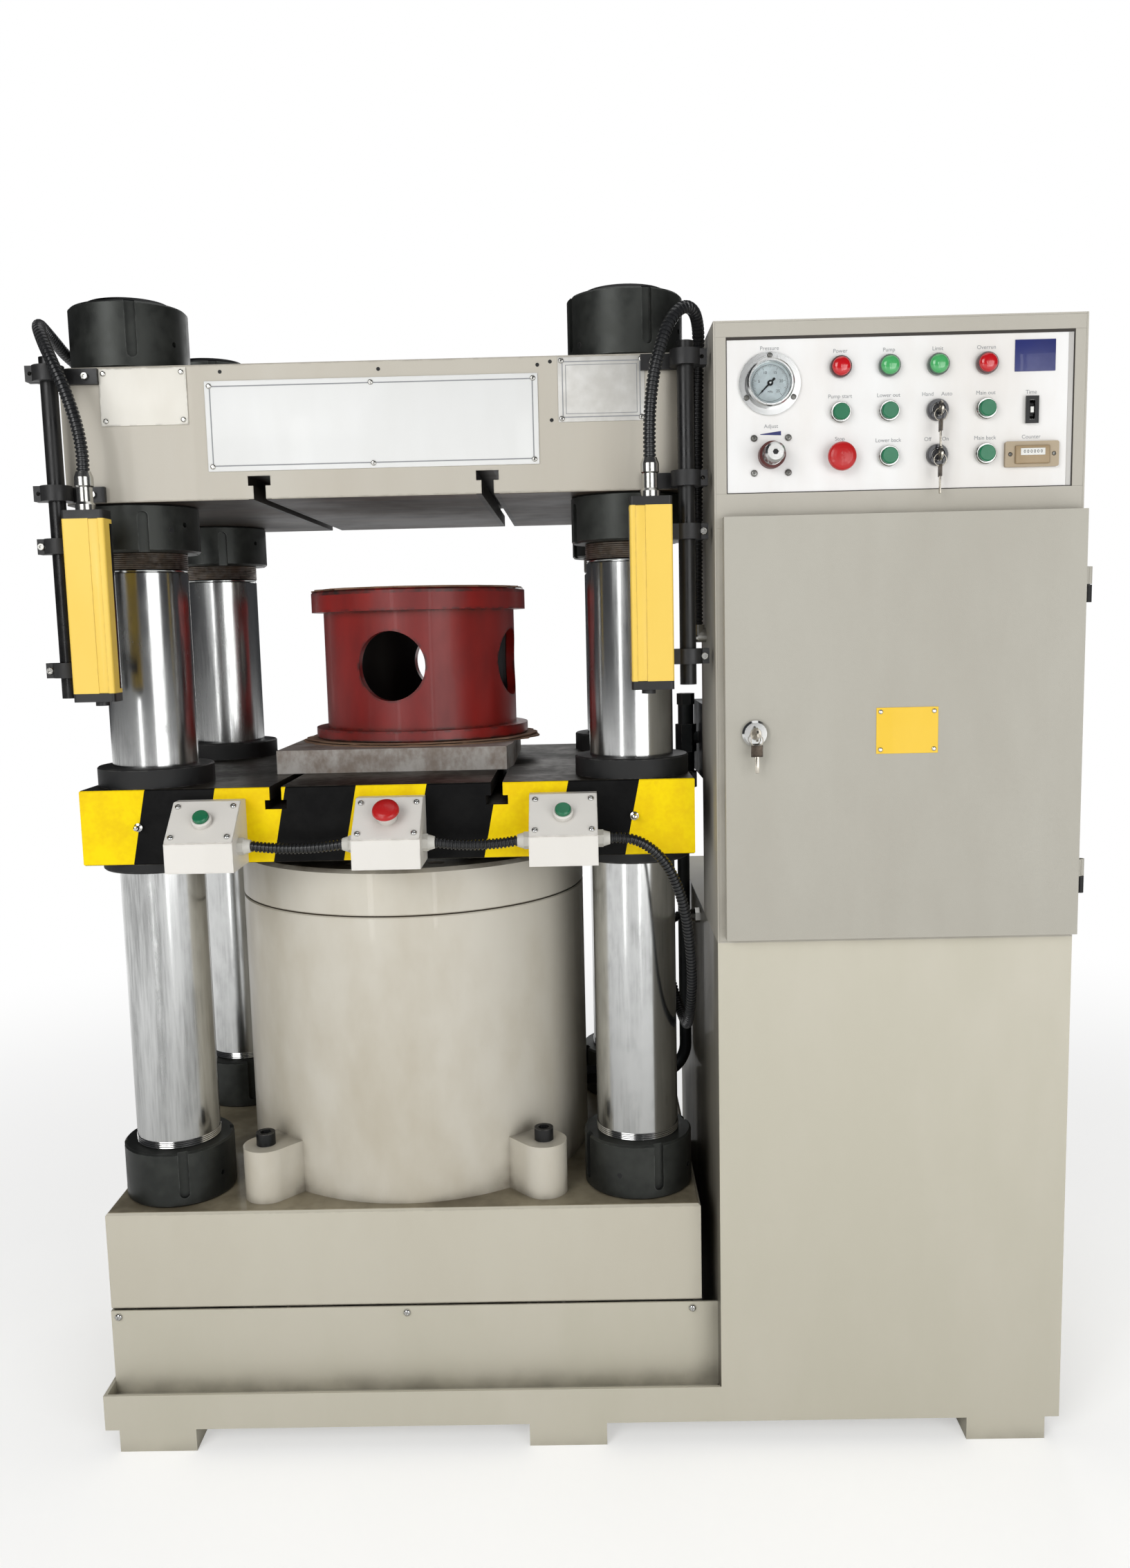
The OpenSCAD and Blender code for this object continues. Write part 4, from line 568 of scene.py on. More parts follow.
BEIGE: Colour = (203, 198, 182)
FINISHES: tuple[Finish, ...] = (
    Paint("frame_paint", (204, 199, 184), 0.42, shade=(186, 178, 160), grime=0.85, wear=0.25),
    Paint("housing_paint", BEIGE, 0.4, shade=(193, 189, 170), grime=0.55, clouds=0.5),
    Paint("cabinet_paint", (188, 184, 173), 0.55, shade=(176, 171, 159), peel=900.0, relief=0.32, grime=0.4, coat=0.0),
    Paint("door_paint", (180, 177, 166), 0.55, shade=(168, 163, 152), peel=900.0, relief=0.32, grime=0.4, coat=0.0),
    Chrome("column_chrome", (206, 207, 206), 0.15, dull=((1362, 1392), (1740, 1760), (455, 462))),
    Metal("nut_black", (50, 52, 50), 0.34, shade=(66, 68, 65), metallic=0.7, wear=0.35, edge=(120, 122, 120)),
    Metal("bolt_black", (34, 35, 36), 0.36, shade=(50, 50, 50), metallic=0.6, wear=0.5),
    TableSteel("table_steel", (70, 66, 58), 0.4, shade=(46, 43, 37), metallic=0.75, wear=0.4),
    Metal("plate_steel", (182, 178, 173), 0.5, shade=(144, 132, 122), metallic=0.35, scale=20.0, stretch=(1.0, 1.0, 0.7)),
    Chrome("ram_steel", (205, 205, 203), 0.12),
    Metal("bush_black", (30, 31, 32), 0.5, shade=(44, 44, 44), metallic=0.4, wear=0.3),
    Paint("panel_white", (240, 240, 239), 0.4, shade=(220, 213, 204), grime=0.2, clouds=0.55, relief=0.04),
    Chrome("bezel_chrome", (208, 208, 206), 0.16, smear=0.03, relief=0.006, stretch=(1, 1, 1)),
    Plastic("lens_red", (176, 14, 18), 0.12, shade=(120, 6, 10), coat=0.6, through=0.25),
    Plastic("lens_green", (20, 132, 84), 0.12, shade=(8, 90, 58), coat=0.6, through=0.25),
    Chrome("gauge_steel", (206, 207, 206), 0.2, smear=0.03, relief=0.006, stretch=(1, 1, 1)),
    Glass("gauge_glass", (246, 250, 250), 0.02),
    Plastic("needle_black", (18, 18, 19), 0.45, shade=(34, 34, 34)),
    Paint("counter_grey", (176, 160, 134), 0.4, shade=(158, 140, 114), grime=0.4),
    Metal("hinge_black", (30, 30, 31), 0.45, shade=(44, 44, 44), metallic=0.4),
    Plastic("switchgear", (214, 213, 206), 0.5, shade=(180, 180, 174)),
    Paint("unit_paint", (96, 106, 112), 0.42, shade=(78, 88, 94), grime=0.8, wear=0.3),
    Metal("valve_dark", (66, 70, 74), 0.4, shade=(48, 50, 52), metallic=0.6),
    Metal("pipe_dark", (44, 47, 50), 0.38, shade=(60, 62, 62), metallic=0.7),
    Metal("pole_black", (24, 24, 25), 0.22, shade=(34, 34, 34), metallic=0.3, wear=0.2),
    Plastic("curtain_black", (26, 26, 27), 0.4, shade=(40, 40, 40)),
    Paint("curtain_yellow", (244, 208, 92), 0.38, shade=(236, 194, 74), grime=0.3, wear=0.12, relief=0.05),
    Chrome("gland_metal", (202, 201, 196), 0.2, smear=0.03, relief=0.006, stretch=(1, 1, 1)),
    Plastic("conduit_black", (24, 25, 27), 0.3, shade=(38, 39, 40), coat=0.2),
    Paint("box_white", (230, 227, 221), 0.42, shade=(218, 214, 206), grime=0.5, wear=0.2),
    Plastic("gland_white", (222, 220, 212), 0.34, shade=(200, 198, 190), through=0.15),
    Paint("board", (170, 136, 112), 0.85, shade=(132, 100, 80), clouds=0.9, grime=0.6, peel=200.0, relief=0.7, coat=0.0),
    SpacerPaint("spacer_red", (162, 31, 25), 0.3, shade=(104, 18, 16), clouds=0.85, wear=0.9, edge=0.008, grime=0.5,
                stretch=(1.0, 1.0, 0.4), bare=(36, 25, 23), coat=0.06),
    Chrome("lock_chrome", (214, 214, 212), 0.1, smear=0.03, relief=0.006, stretch=(1, 1, 1)),
    Chrome("key_steel", (196, 190, 178), 0.24, smear=0.03, relief=0.006, stretch=(1, 1, 1)),
    Plastic("button_green", (22, 116, 78), 0.3, shade=(14, 96, 62), coat=0.2),
    Plastic("stop_red", (188, 22, 24), 0.3, shade=(160, 14, 16), coat=0.2),
    Chrome("knob_metal", (200, 200, 198), 0.22, smear=0.03, relief=0.006, stretch=(1, 1, 1)),
    Plastic("wheel_black", (22, 22, 23), 0.42, shade=(36, 36, 36)),
)
BY_SLOT = {finish.slot: finish for finish in FINISHES}
INK = Plastic("needle_black", (138, 140, 143), 0.6, shade=(168, 170, 172))
DIAL_INK = Plastic("needle_black", (24, 25, 28), 0.6, shade=(38, 40, 44))
DIAL_FACE = Paint("panel_white", (226, 233, 236), 0.5, shade=(212, 222, 227), grime=0.0, relief=0.02)
BARE_PLATE = Paint("panel_white", (228, 229, 228), 0.36, shade=(214, 214, 210), grime=0.2, relief=0.02, wear=0.1)
CREAM_PLATE = Paint("panel_white", (232, 229, 220), 0.44, shade=(206, 200, 186), clouds=0.5, wear=0.7, relief=0.03)
ALU_PLATE = Metal("plate_steel", (214, 213, 209), 0.36, shade=(192, 190, 184), metallic=0.15, wear=0.3, relief=0.05)
BLUE_PLATE = Plastic("panel_white", (40, 48, 112), 0.34, shade=(30, 36, 92), coat=0.2)
YELLOW_PLATE = Paint("curtain_yellow", (244, 202, 40), 0.36, shade=(232, 186, 30), relief=0.03)
VALVE_RED = Plastic("stop_red", (92, 40, 36), 0.4, shade=(64, 26, 24))
WINDOW = Plastic("curtain_black", (16, 15, 18), 0.1, shade=(34, 18, 22), coat=0.5)
PALE = Plastic("switchgear", (232, 232, 228), 0.4, shade=(212, 212, 206))
BARE_THREAD = Metal("plate_steel", (112, 100, 88), 0.4, shade=(54, 46, 40), metallic=0.8, stretch=(1.0, 1.0, 3.0))
DEVICE_DARK = Plastic("curtain_black", (52, 56, 62), 0.4, shade=(72, 76, 82))
DEVICE_ORANGE = Plastic("curtain_yellow", (206, 118, 40), 0.4, shade=(186, 98, 30))
LENS_RED = Plastic("lens_red", (204, 18, 28), 0.1, shade=(150, 8, 16), coat=0.8)
LENS_GREEN = Plastic("lens_green", (78, 176, 104), 0.1, shade=(40, 140, 74), coat=0.8)
RIM_RED = Plastic("lens_red", (70, 8, 12), 0.16, shade=(40, 6, 8), coat=0.6)
RIM_GREEN = Plastic("lens_green", (14, 62, 40), 0.16, shade=(8, 36, 24), coat=0.6)
SWITCH_BLACK = Plastic("wheel_black", (24, 26, 34), 0.16, shade=(40, 44, 56), coat=0.5)
# Dark colour for the painted shadow line round the panel's opening.
PANEL_SHADOW = Plastic("curtain_black", (52, 48, 44), 0.6, shade=(74, 68, 62))
KEY_BOW = Metal("key_steel", (92, 82, 72), 0.34, shade=(58, 50, 44), metallic=0.8, scale=60.0)
STRIP = Paint("panel_white", (196, 194, 190), 0.4, shade=(170, 166, 160), grime=0.2, relief=0.02)
COUNTER_BOX = Paint("counter_grey", (164, 142, 108), 0.34, shade=(146, 124, 92), grime=0.3, wear=0.2)
DULL_SCREW = Metal("plate_steel", (150, 150, 146), 0.32, shade=(98, 97, 92), metallic=0.85, scale=40.0, wear=0.6)


class Bench:
    """The modelling steps that the pieces share; each leaves its place in the mesh."""

    @staticmethod
    def pick(*objs: bpy.types.Object) -> None:
        """Selects only these objects, the first one active."""
        bpy.ops.object.select_all(action="DESELECT")
        for obj in objs:
            obj.select_set(True)
        bpy.context.view_layer.objects.active = objs[0]

    @staticmethod
    def name(name: str) -> bpy.types.Object:
        """Names the object just added and its mesh, and returns it."""
        obj = bpy.context.object
        obj.name = name
        obj.data.name = name
        return obj

    @classmethod
    def settle(cls, obj: bpy.types.Object, angle: float = 35.0) -> bpy.types.Object:
        """Puts an object's place into its mesh and smooths its gentle edges."""
        cls.pick(obj)
        bpy.ops.object.transform_apply(location=True, rotation=True, scale=True)
        bpy.ops.object.shade_smooth_by_angle(angle=math.radians(angle))
        return obj

    @staticmethod
    def choose(obj: bpy.types.Object, test: Callable[[bpy.types.MeshPolygon], bool]) -> None:
        """Enters edit mode with only the faces that pass a test selected.

        Args:
            obj: The active object.
            test: Whether a face is wanted.
        """
        bpy.ops.object.mode_set(mode="EDIT")
        bpy.ops.mesh.select_mode(type="FACE")
        bpy.ops.mesh.select_all(action="DESELECT")
        bpy.ops.object.mode_set(mode="OBJECT")
        for face in obj.data.polygons:
            face.select = test(face)
        bpy.ops.object.mode_set(mode="EDIT")

    @classmethod
    def slab(cls, name: str, low: Point, high: Point, bevel: float = 0.0, segments: int = 2) -> bpy.types.Object:
        """Models a box with rounded edges.

        Args:
            name: The piece's name.
            low: Its lowest corner.
            high: Its highest corner.
            bevel: The edges' radius.
            segments: How many faces round an edge.

        Returns:
            The new object.
        """
        a, b = at(*low), at(*high)
        bpy.ops.object.select_all(action="DESELECT")
        bpy.ops.mesh.primitive_cube_add(size=1.0, location=(a + b) / 2)
        obj = cls.name(name)
        bpy.ops.object.mode_set(mode="EDIT")
        bpy.ops.mesh.select_all(action="SELECT")
        bpy.ops.transform.resize(value=tuple(b - a), center_override=tuple((a + b) / 2))
        if bevel:
            bpy.ops.mesh.bevel(offset=bevel * MM, segments=segments, affect="EDGES")
        bpy.ops.object.mode_set(mode="OBJECT")
        return cls.settle(obj)

    @classmethod
    def outline(cls, name: str, low: Point, high: Point, width: float) -> bpy.types.Object:
        """Models a thin raised line round an upright rectangle that faces the front.

        Args:
            name: The piece's name.
            low: Its lowest corner; the y of this corner is the line's back.
            high: Its highest corner; the y of this corner is the line's front.
            width: The line's width.

        Returns:
            The new object.
        """
        obj = cls.slab(name, (low[0], high[1], low[2]), (high[0], low[1], high[2]))
        cls.choose(obj, lambda face: abs(face.normal.y) > 0.9)
        bpy.ops.mesh.inset(thickness=width * MM, use_boundary=True)
        bpy.ops.mesh.delete(type="FACE")
        bpy.ops.mesh.select_mode(type="EDGE")
        bpy.ops.mesh.select_non_manifold()
        bpy.ops.mesh.bridge_edge_loops()
        bpy.ops.mesh.select_all(action="SELECT")
        bpy.ops.mesh.normals_make_consistent(inside=False)
        bpy.ops.object.mode_set(mode="OBJECT")
        return obj

    @classmethod
    def lathe(cls, name: str, centre: Point, axis: Point, profile: Sequence[tuple[float, float]],
              steps: int = 24) -> bpy.types.Object:
        """Models a turned piece by spinning a profile.

        Args:
            name: The piece's name.
            centre: Where the profile's zero height lies.
            axis: The direction of growing height.
            profile: Pairs of radius and height.
            steps: How many sides a full turn has.

        Returns:
            The new object.
        """
        bpy.ops.object.select_all(action="DESELECT")
        bpy.ops.mesh.primitive_plane_add(size=0.01, location=(0, 0, 0))
        obj = cls.name(name)
        bpy.ops.object.mode_set(mode="EDIT")
        bpy.ops.mesh.select_mode(type="VERT")
        bpy.ops.mesh.select_all(action="SELECT")
        bpy.ops.mesh.merge(type="CENTER")
        points = [Vector((radius, 0.0, height)) * MM for radius, height in profile]
        bpy.ops.transform.translate(value=tuple(points[0]))
        for before, after in zip(points, points[1:]):
            bpy.ops.mesh.extrude_vertices_move(TRANSFORM_OT_translate={"value": tuple(after - before)})
        bpy.ops.mesh.select_all(action="SELECT")
        bpy.ops.mesh.spin(steps=steps, angle=math.tau, center=(0, 0, 0), axis=(0, 0, 1))
        bpy.ops.mesh.select_all(action="SELECT")
        bpy.ops.mesh.remove_doubles(threshold=1e-6)
        bpy.ops.mesh.normals_make_consistent(inside=False)
        bpy.ops.object.mode_set(mode="OBJECT")
        obj.rotation_euler = Vector(axis).to_track_quat("Z", "Y").to_euler()
        obj.location = at(*centre)
        return cls.settle(obj)

    @classmethod
    def screw(cls, name: str, centre: Point, axis: Point, radius: float, height: float) -> bpy.types.Object:
        """Models a domed screw head with a shallow recess in its middle."""
        r, h = radius, height
        return cls.lathe(name, centre, axis, [(r, 0), (r, 0.3 * h), (0.86 * r, 0.72 * h), (0.55 * r, h),
                                              (0.36 * r, h), (0.3 * r, 0.5 * h), (0, 0.5 * h)], 20)

    @classmethod
    def copy(cls, source: bpy.types.Object, name: str, shift: Point) -> bpy.types.Object:
        """Copies a piece with a mesh of its own, moved by a shift in millimetres."""
        cls.pick(source)
        bpy.ops.object.duplicate(linked=False)
        obj = cls.name(name)
        obj.location = Vector(shift) * MM
        bpy.ops.object.transform_apply(location=True, rotation=True, scale=True)
        return obj

    @classmethod
    def join(cls, name: str, objs: Sequence[bpy.types.Object]) -> bpy.types.Object:
        """Joins several pieces of one finish into one."""
        cls.pick(*objs)
        if len(objs) > 1:
            bpy.ops.object.join()
        return cls.name(name)

    @classmethod
    def words(cls, name: str, text: str, size: float, centre: Point, turn: float = 0.0) -> bpy.types.Object:
        """Models flat lettering that faces the front.

        Args:
            name: The piece's name.
            text: What it says.
            size: The letters' size.
            centre: The middle of the lettering.
            turn: Its turn in the plane, in degrees.

        Returns:
            The new object.
        """
        bpy.ops.object.select_all(action="DESELECT")
        bpy.ops.object.text_add(location=at(*centre), rotation=(math.pi / 2, math.radians(turn), 0))
        obj = bpy.context.object
        obj.data.body = text
        obj.data.size = size * MM
        obj.data.align_x = "CENTER"
        obj.data.align_y = "CENTER"
        obj.data.extrude = 0.05 * MM
        bpy.ops.object.convert(target="MESH")
        obj = cls.name(name)
        bpy.ops.object.transform_apply(location=True, rotation=True, scale=True)
        return obj

    @classmethod
    def hose(cls, name: str, path: Sequence[Vector], diameter: float, pitch: float) -> bpy.types.Object:
        """Models a corrugated conduit by repeating one rib and bending the row along a line.

        Args:
            name: The piece's name.
            path: Its centreline in the row frame.
            diameter: Its outside diameter.
            pitch: The distance between ribs.

        Returns:
            The new object.
        """
        length = sum((b - a).length for a, b in zip(path, path[1:]))
        count = max(2, round(length / (pitch * MM)))
        step = length / count / MM
        top, root = diameter / 2, diameter / 2 - 1.7
        rib = [(root, 0), (root, 0.22 * step), (top, 0.36 * step), (top, 0.78 * step), (root, 0.92 * step), (root, step)]
        obj = cls.lathe(name, tuple(SHIFT), (1, 0, 0), rib, 14)
        line = bpy.data.curves.new(name + "_line", "CURVE")
        line.dimensions = "3D"
        spline = line.splines.new("POLY")
        spline.points.add(len(path) - 1)
        for point, place in zip(spline.points, path):
            point.co = (*place, 1.0)
        guide = bpy.data.objects.new(name + "_line", line)
        bpy.context.collection.objects.link(guide)
        cls.pick(obj)
        row = obj.modifiers.new("row", "ARRAY")
        row.count = count
        row.use_relative_offset = False
        row.use_constant_offset = True
        row.constant_offset_displace = (step * MM, 0, 0)
        row.use_merge_vertices = True
        row.merge_threshold = 0.00002
        bend = obj.modifiers.new("bend", "CURVE")
        bend.object = guide
        bend.deform_axis = "POS_X"
        bpy.ops.object.modifier_apply(modifier="row")
        bpy.ops.object.modifier_apply(modifier="bend")
        cls.pick(guide)
        bpy.ops.object.delete()
        cls.pick(obj)
        bpy.ops.object.shade_smooth_by_angle(angle=math.radians(50))
        return obj


def mount(obj: bpy.types.Object, body: Body, finish: Finish) -> bpy.types.Object:
    """Gives a piece its finish, its record slot and the body it rides on."""
    obj.data.materials.clear()
    obj.data.materials.append(finish.material())
    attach(obj, body.value)
    LOG.info("%s rides on %s in %s, %d faces", obj.name, body.value, finish.slot, len(obj.data.polygons))
    return obj


def smooth_line(points: Sequence[Point], step: float = 4.0) -> list[Vector]:
    """Runs a smooth line through route points.

    Args:
        points: The route in design millimetres.
        step: About how far apart the line's points lie.

    Returns:
        The line in the row frame.
    """
    route = [Vector(p) for p in points]
    ends = [route[0] * 2 - route[1], *route, route[-1] * 2 - route[-2]]
    line: list[Vector] = []
    for p0, p1, p2, p3 in zip(ends, ends[1:], ends[2:], ends[3:]):
        count = max(2, round((p2 - p1).length / step))
        for i in range(count):
            t = i / count
            line.append(0.5 * (2 * p1 + (p2 - p0) * t + (2 * p0 - 5 * p1 + 4 * p2 - p3) * t * t
                               + (3 * p1 - p0 - 3 * p2 + p3) * t ** 3))
    line.append(route[-1])
    return [at(*p) for p in line]


@dataclass
class Conduits:
    """The corrugated conduits: two from the light curtains, one from the table and the links between boxes."""

    left: tuple[Point, ...] = (
        (-399, -362.5, 1496), (-399, -362.5, 1522), (-403, -362, 1554), (-411, -361, 1586), (-422, -359, 1618),
        (-435, -355, 1648), (-449, -346, 1677), (-461, -329, 1699), (-470, -303, 1710), (-474, -271, 1708),
        (-475, -237, 1700), (-474, -204, 1690), (-467, -171, 1680), (-450, -141, 1671), (-424, -116, 1664),
        (-389, -98, 1661), (-347, -86, 1661), (-301, -77, 1661), (-252, -71, 1661), (-200, -67, 1661),
        (-148, -64, 1661), (-96, -62, 1661), (-44, -60, 1661), (8, -60, 1661), (60, -60, 1661), (112, -60, 1661),
        (164, -60, 1661), (216, -58, 1661), (268, -56, 1661), (320, -52, 1661), (374, -48, 1662), (426, -44, 1666),
        (472, -42, 1667), (511, -44, 1659), (540, -52, 1641), (555, -68, 1621), (560, -90, 1609), (560, -112, 1605),
        (560, -132, 1605))
    right: tuple[Point, ...] = (
        (399, -362.5, 1496), (399, -362.5, 1522), (400, -362, 1554), (403, -361, 1586), (408, -359, 1616),
        (416, -356, 1646), (426, -351, 1674), (440, -343, 1696), (455, -331, 1706), (468, -313, 1702),
        (475, -292, 1686), (477, -276, 1662), (477, -264, 1634), (477, -255, 1602), (477, -249, 1570),
        (477, -244, 1538), (477, -240, 1506), (477, -236, 1474), (477, -232, 1442), (477, -228, 1410),
        (477, -224, 1378), (477, -221, 1346), (477, -219, 1314), (477, -218, 1284), (477, -218, 1262))
    control: tuple[Point, ...] = (
        (334, -350, 955), (352, -350, 955), (376, -349, 949), (400, -346, 932), (420, -341, 906), (434, -335, 874),
        (444, -328, 838), (450, -319, 800), (454, -309, 762), (456, -296, 724), (456, -279, 688), (455, -258, 656),
        (454, -231, 634), (453, -203, 627), (449, -172, 633), (443, -146, 650), (436, -126, 676), (430, -110, 704),
        (428, -97, 730), (431, -86, 752), (441, -78, 766), (456, -72, 772), (472, -72, 772))
    link_spans: tuple[tuple[float, float], ...] = ((-194, -59), (77, 198))

    def build(self) -> None:
        for name, route in (("conduit_left", self.left), ("conduit_right", self.right)):
            path = smooth_line(route)
            tube = mount(Bench.hose(name + "_ribbed", path, 18.0, 6.0), Body.FRAME, BY_SLOT["conduit_black"])
            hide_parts(name)
        path = smooth_line(self.control)
        tube = Bench.hose("control_conduit_ribbed", path, 16.0, 5.6)
        tube.data.materials.clear()
        tube.data.materials.append(BY_SLOT["conduit_black"].material())
        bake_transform(tube)
        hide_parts("control_conduit")
        self.build_links()

    def build_links(self) -> None:
        """Models the two short conduits between the control boxes."""
        tubes = []
        for i, (a, b) in enumerate(self.link_spans):
            half, mid = (b - a) / 2, (a + b) / 2
            route = [(mid + half * k / 4, -350, 954 - 5 * (1 - (k / 4) ** 2)) for k in range(-4, 5)]
            tubes.append(Bench.hose(f"link_{i}", smooth_line(route), 16.0, 5.6))
        links = mount(Bench.join("conduit_links_ribbed", tubes), Body.TABLE, BY_SLOT["conduit_black"])
        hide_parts("conduit_links")


@dataclass
class CrownTrim:
    """Bare plates, rivets and tapped holes on the crown's front."""

    face: float = -300.0
    rivet: float = 4.0

    def build(self) -> None:
        """Models the crown's pieces."""
        self.plate("crown_plate_left", (-391, 1567), (-264, 1648), 2.0, CREAM_PLATE)
        self.plate("crown_plate_main", (-239, 1499), (243, 1627), 2.0, BARE_PLATE)
        self.plate("crown_plate_right", (272, 1557), (397, 1648), 1.6, ALU_PLATE)
        y = self.face - 2.0
        mount(Bench.outline("crown_plate_line", (-232, y, 1506), (236, y - 0.3, 1620), 1.6), Body.FRAME, INK)
        lines = [Bench.outline("line_a", (278, self.face - 1.6, 1563), (391, self.face - 1.9, 1642), 1.4),
                 Bench.outline("line_b", (283, self.face - 1.6, 1568), (386, self.face - 1.9, 1637), 0.8)]
        mount(Bench.join("crown_plate_right_lines", lines), Body.FRAME, INK)
        self.rivets()
        self.holes()

    def plate(self, name: str, low: tuple[float, float], high: tuple[float, float], thick: float,
              finish: Finish) -> None:
        """Models one thin plate on the crown's front."""
        piece = Bench.slab(name, (low[0], self.face - thick, low[1]), (high[0], self.face, high[1]), 0.7)
        mount(piece, Body.FRAME, finish)

    def rivets(self) -> None:
        """Models the rivets and screws of the plates."""
        y = self.face - 2.0
        spots = [(x, z) for x in (-232, 2, 236) for z in (1506, 1620)]
        spots += [(x, z) for x in (-384, -271) for z in (1574, 1641)]
        spots += [(x, z) for x in (277, 392) for z in (1562, 1643)]
        first = Bench.screw("rivet", (0, y, 0), FRONT, self.rivet, 2.2)
        heads = [Bench.copy(first, f"rivet_{i}", (x, 0, z)) for i, (x, z) in enumerate(spots)]
        bpy.data.objects.remove(first)
        mount(Bench.join("crown_rivets", heads), Body.FRAME, BY_SLOT["gland_metal"])

    def holes(self) -> None:
        """Models the small tapped holes between the plates as flat dark discs: painted shade in place of the hollows.
        """
        spots = [(-215.3, 1640), (13.7, 1638.3), (243.1, 1638.4), (261.4, 1642.4), (262, 1560.4)]
        rims = [Bench.lathe(f"hole_{i}", (x, self.face, z), FRONT, [(2.8, 0), (2.8, 0.25), (0, 0.25)], 16)
                for i, (x, z) in enumerate(spots)]
        mount(Bench.join("crown_hole_shades", rims), Body.FRAME, BY_SLOT["bush_black"])


@dataclass
class CurtainTrim:
    """Strips in the light curtains' grooves, windows on their inner sides and screws on their brackets."""

    bar_x: float = 399.0
    clamp_mid: float = 11.0

    def build(self) -> None:
        """Models the curtains' pieces."""
        strips = [Bench.slab(f"strip_{s}", (s * 384 - 6.9, -379.7, 1184.5), (s * 384 + 6.9, -376, 1429.5), 0.4)
                  for s in (-1, 1)]
        mount(Bench.join("curtain_strips", strips), Body.FRAME, BY_SLOT["curtain_yellow"])
        panes = [Bench.slab(f"window_{s}", (s * 369 - 0.5, -358, 1190), (s * 369 + 0.5, -349, 1424), 0.3) for s in (-1, 1)]
        mount(Bench.join("curtain_windows", panes), Body.FRAME, WINDOW)
        heads = []
        for s in (-1, 1):
            for z in (1459, 1626):
                heads.append(self.socket_screw(f"bracket_screw_{s}_{z}", (s * 408, -308, z + self.clamp_mid)))
            for z in (1206, 1384):
                heads.append(self.socket_screw(f"clamp_screw_{s}_{z}", (s * 476, -336, z + self.clamp_mid)))
        mount(Bench.join("curtain_screws", heads), Body.FRAME, BY_SLOT["gland_metal"])

    def socket_screw(self, name: str, centre: Point) -> bpy.types.Object:
        """Models a cap screw with a hexagon socket."""
        head = [(5.0, 0), (5.0, 4.4), (4.4, 5.0), (2.5, 5.0), (2.5, 2.4), (0, 2.4)]
        return Bench.lathe(name, centre, FRONT, head, 24)


@dataclass
class TableTrim:
    """Grease nipples on the table and the fixings of its control boxes."""

    boxes: tuple[float, ...] = (-262.0, 9.0, 266.0)
    lid: Point = (0.0, -355.0, 991.0)
    normal: Vector = field(default_factory=lambda: Vector((0.0, -0.668965, 0.743294)))
    up: Vector = field(default_factory=lambda: Vector((0.0, 0.743294, 0.668965)))

    def build(self) -> None:
        """Models the table's pieces."""
        shape = [(6.5, 0), (6.5, 5), (3.2, 6.5), (3.2, 11), (4.4, 13), (3.4, 16.5), (1.4, 17.5), (0, 17.5)]
        nipples = [Bench.lathe(f"nipple_{i}", (x, -300, z), FRONT, shape, 18)
                   for i, (x, z) in enumerate(((-375, 978), (372, 980)))]
        mount(Bench.join("grease_nipples", nipples), Body.TABLE, BY_SLOT["gland_metal"])
        heads = []
        for x in self.boxes:
            for sx in (-41, 41):
                for su in (-29, 29):
                    spot = Vector((x + sx, self.lid[1], self.lid[2])) + self.up * su + self.normal * 2.0
                    heads.append(Bench.screw(f"lid_screw_{x}_{sx}_{su}", spot, self.normal, 4.6, 3.4))
        mount(Bench.join("lid_screws", heads), Body.TABLE, BY_SLOT["bezel_chrome"])


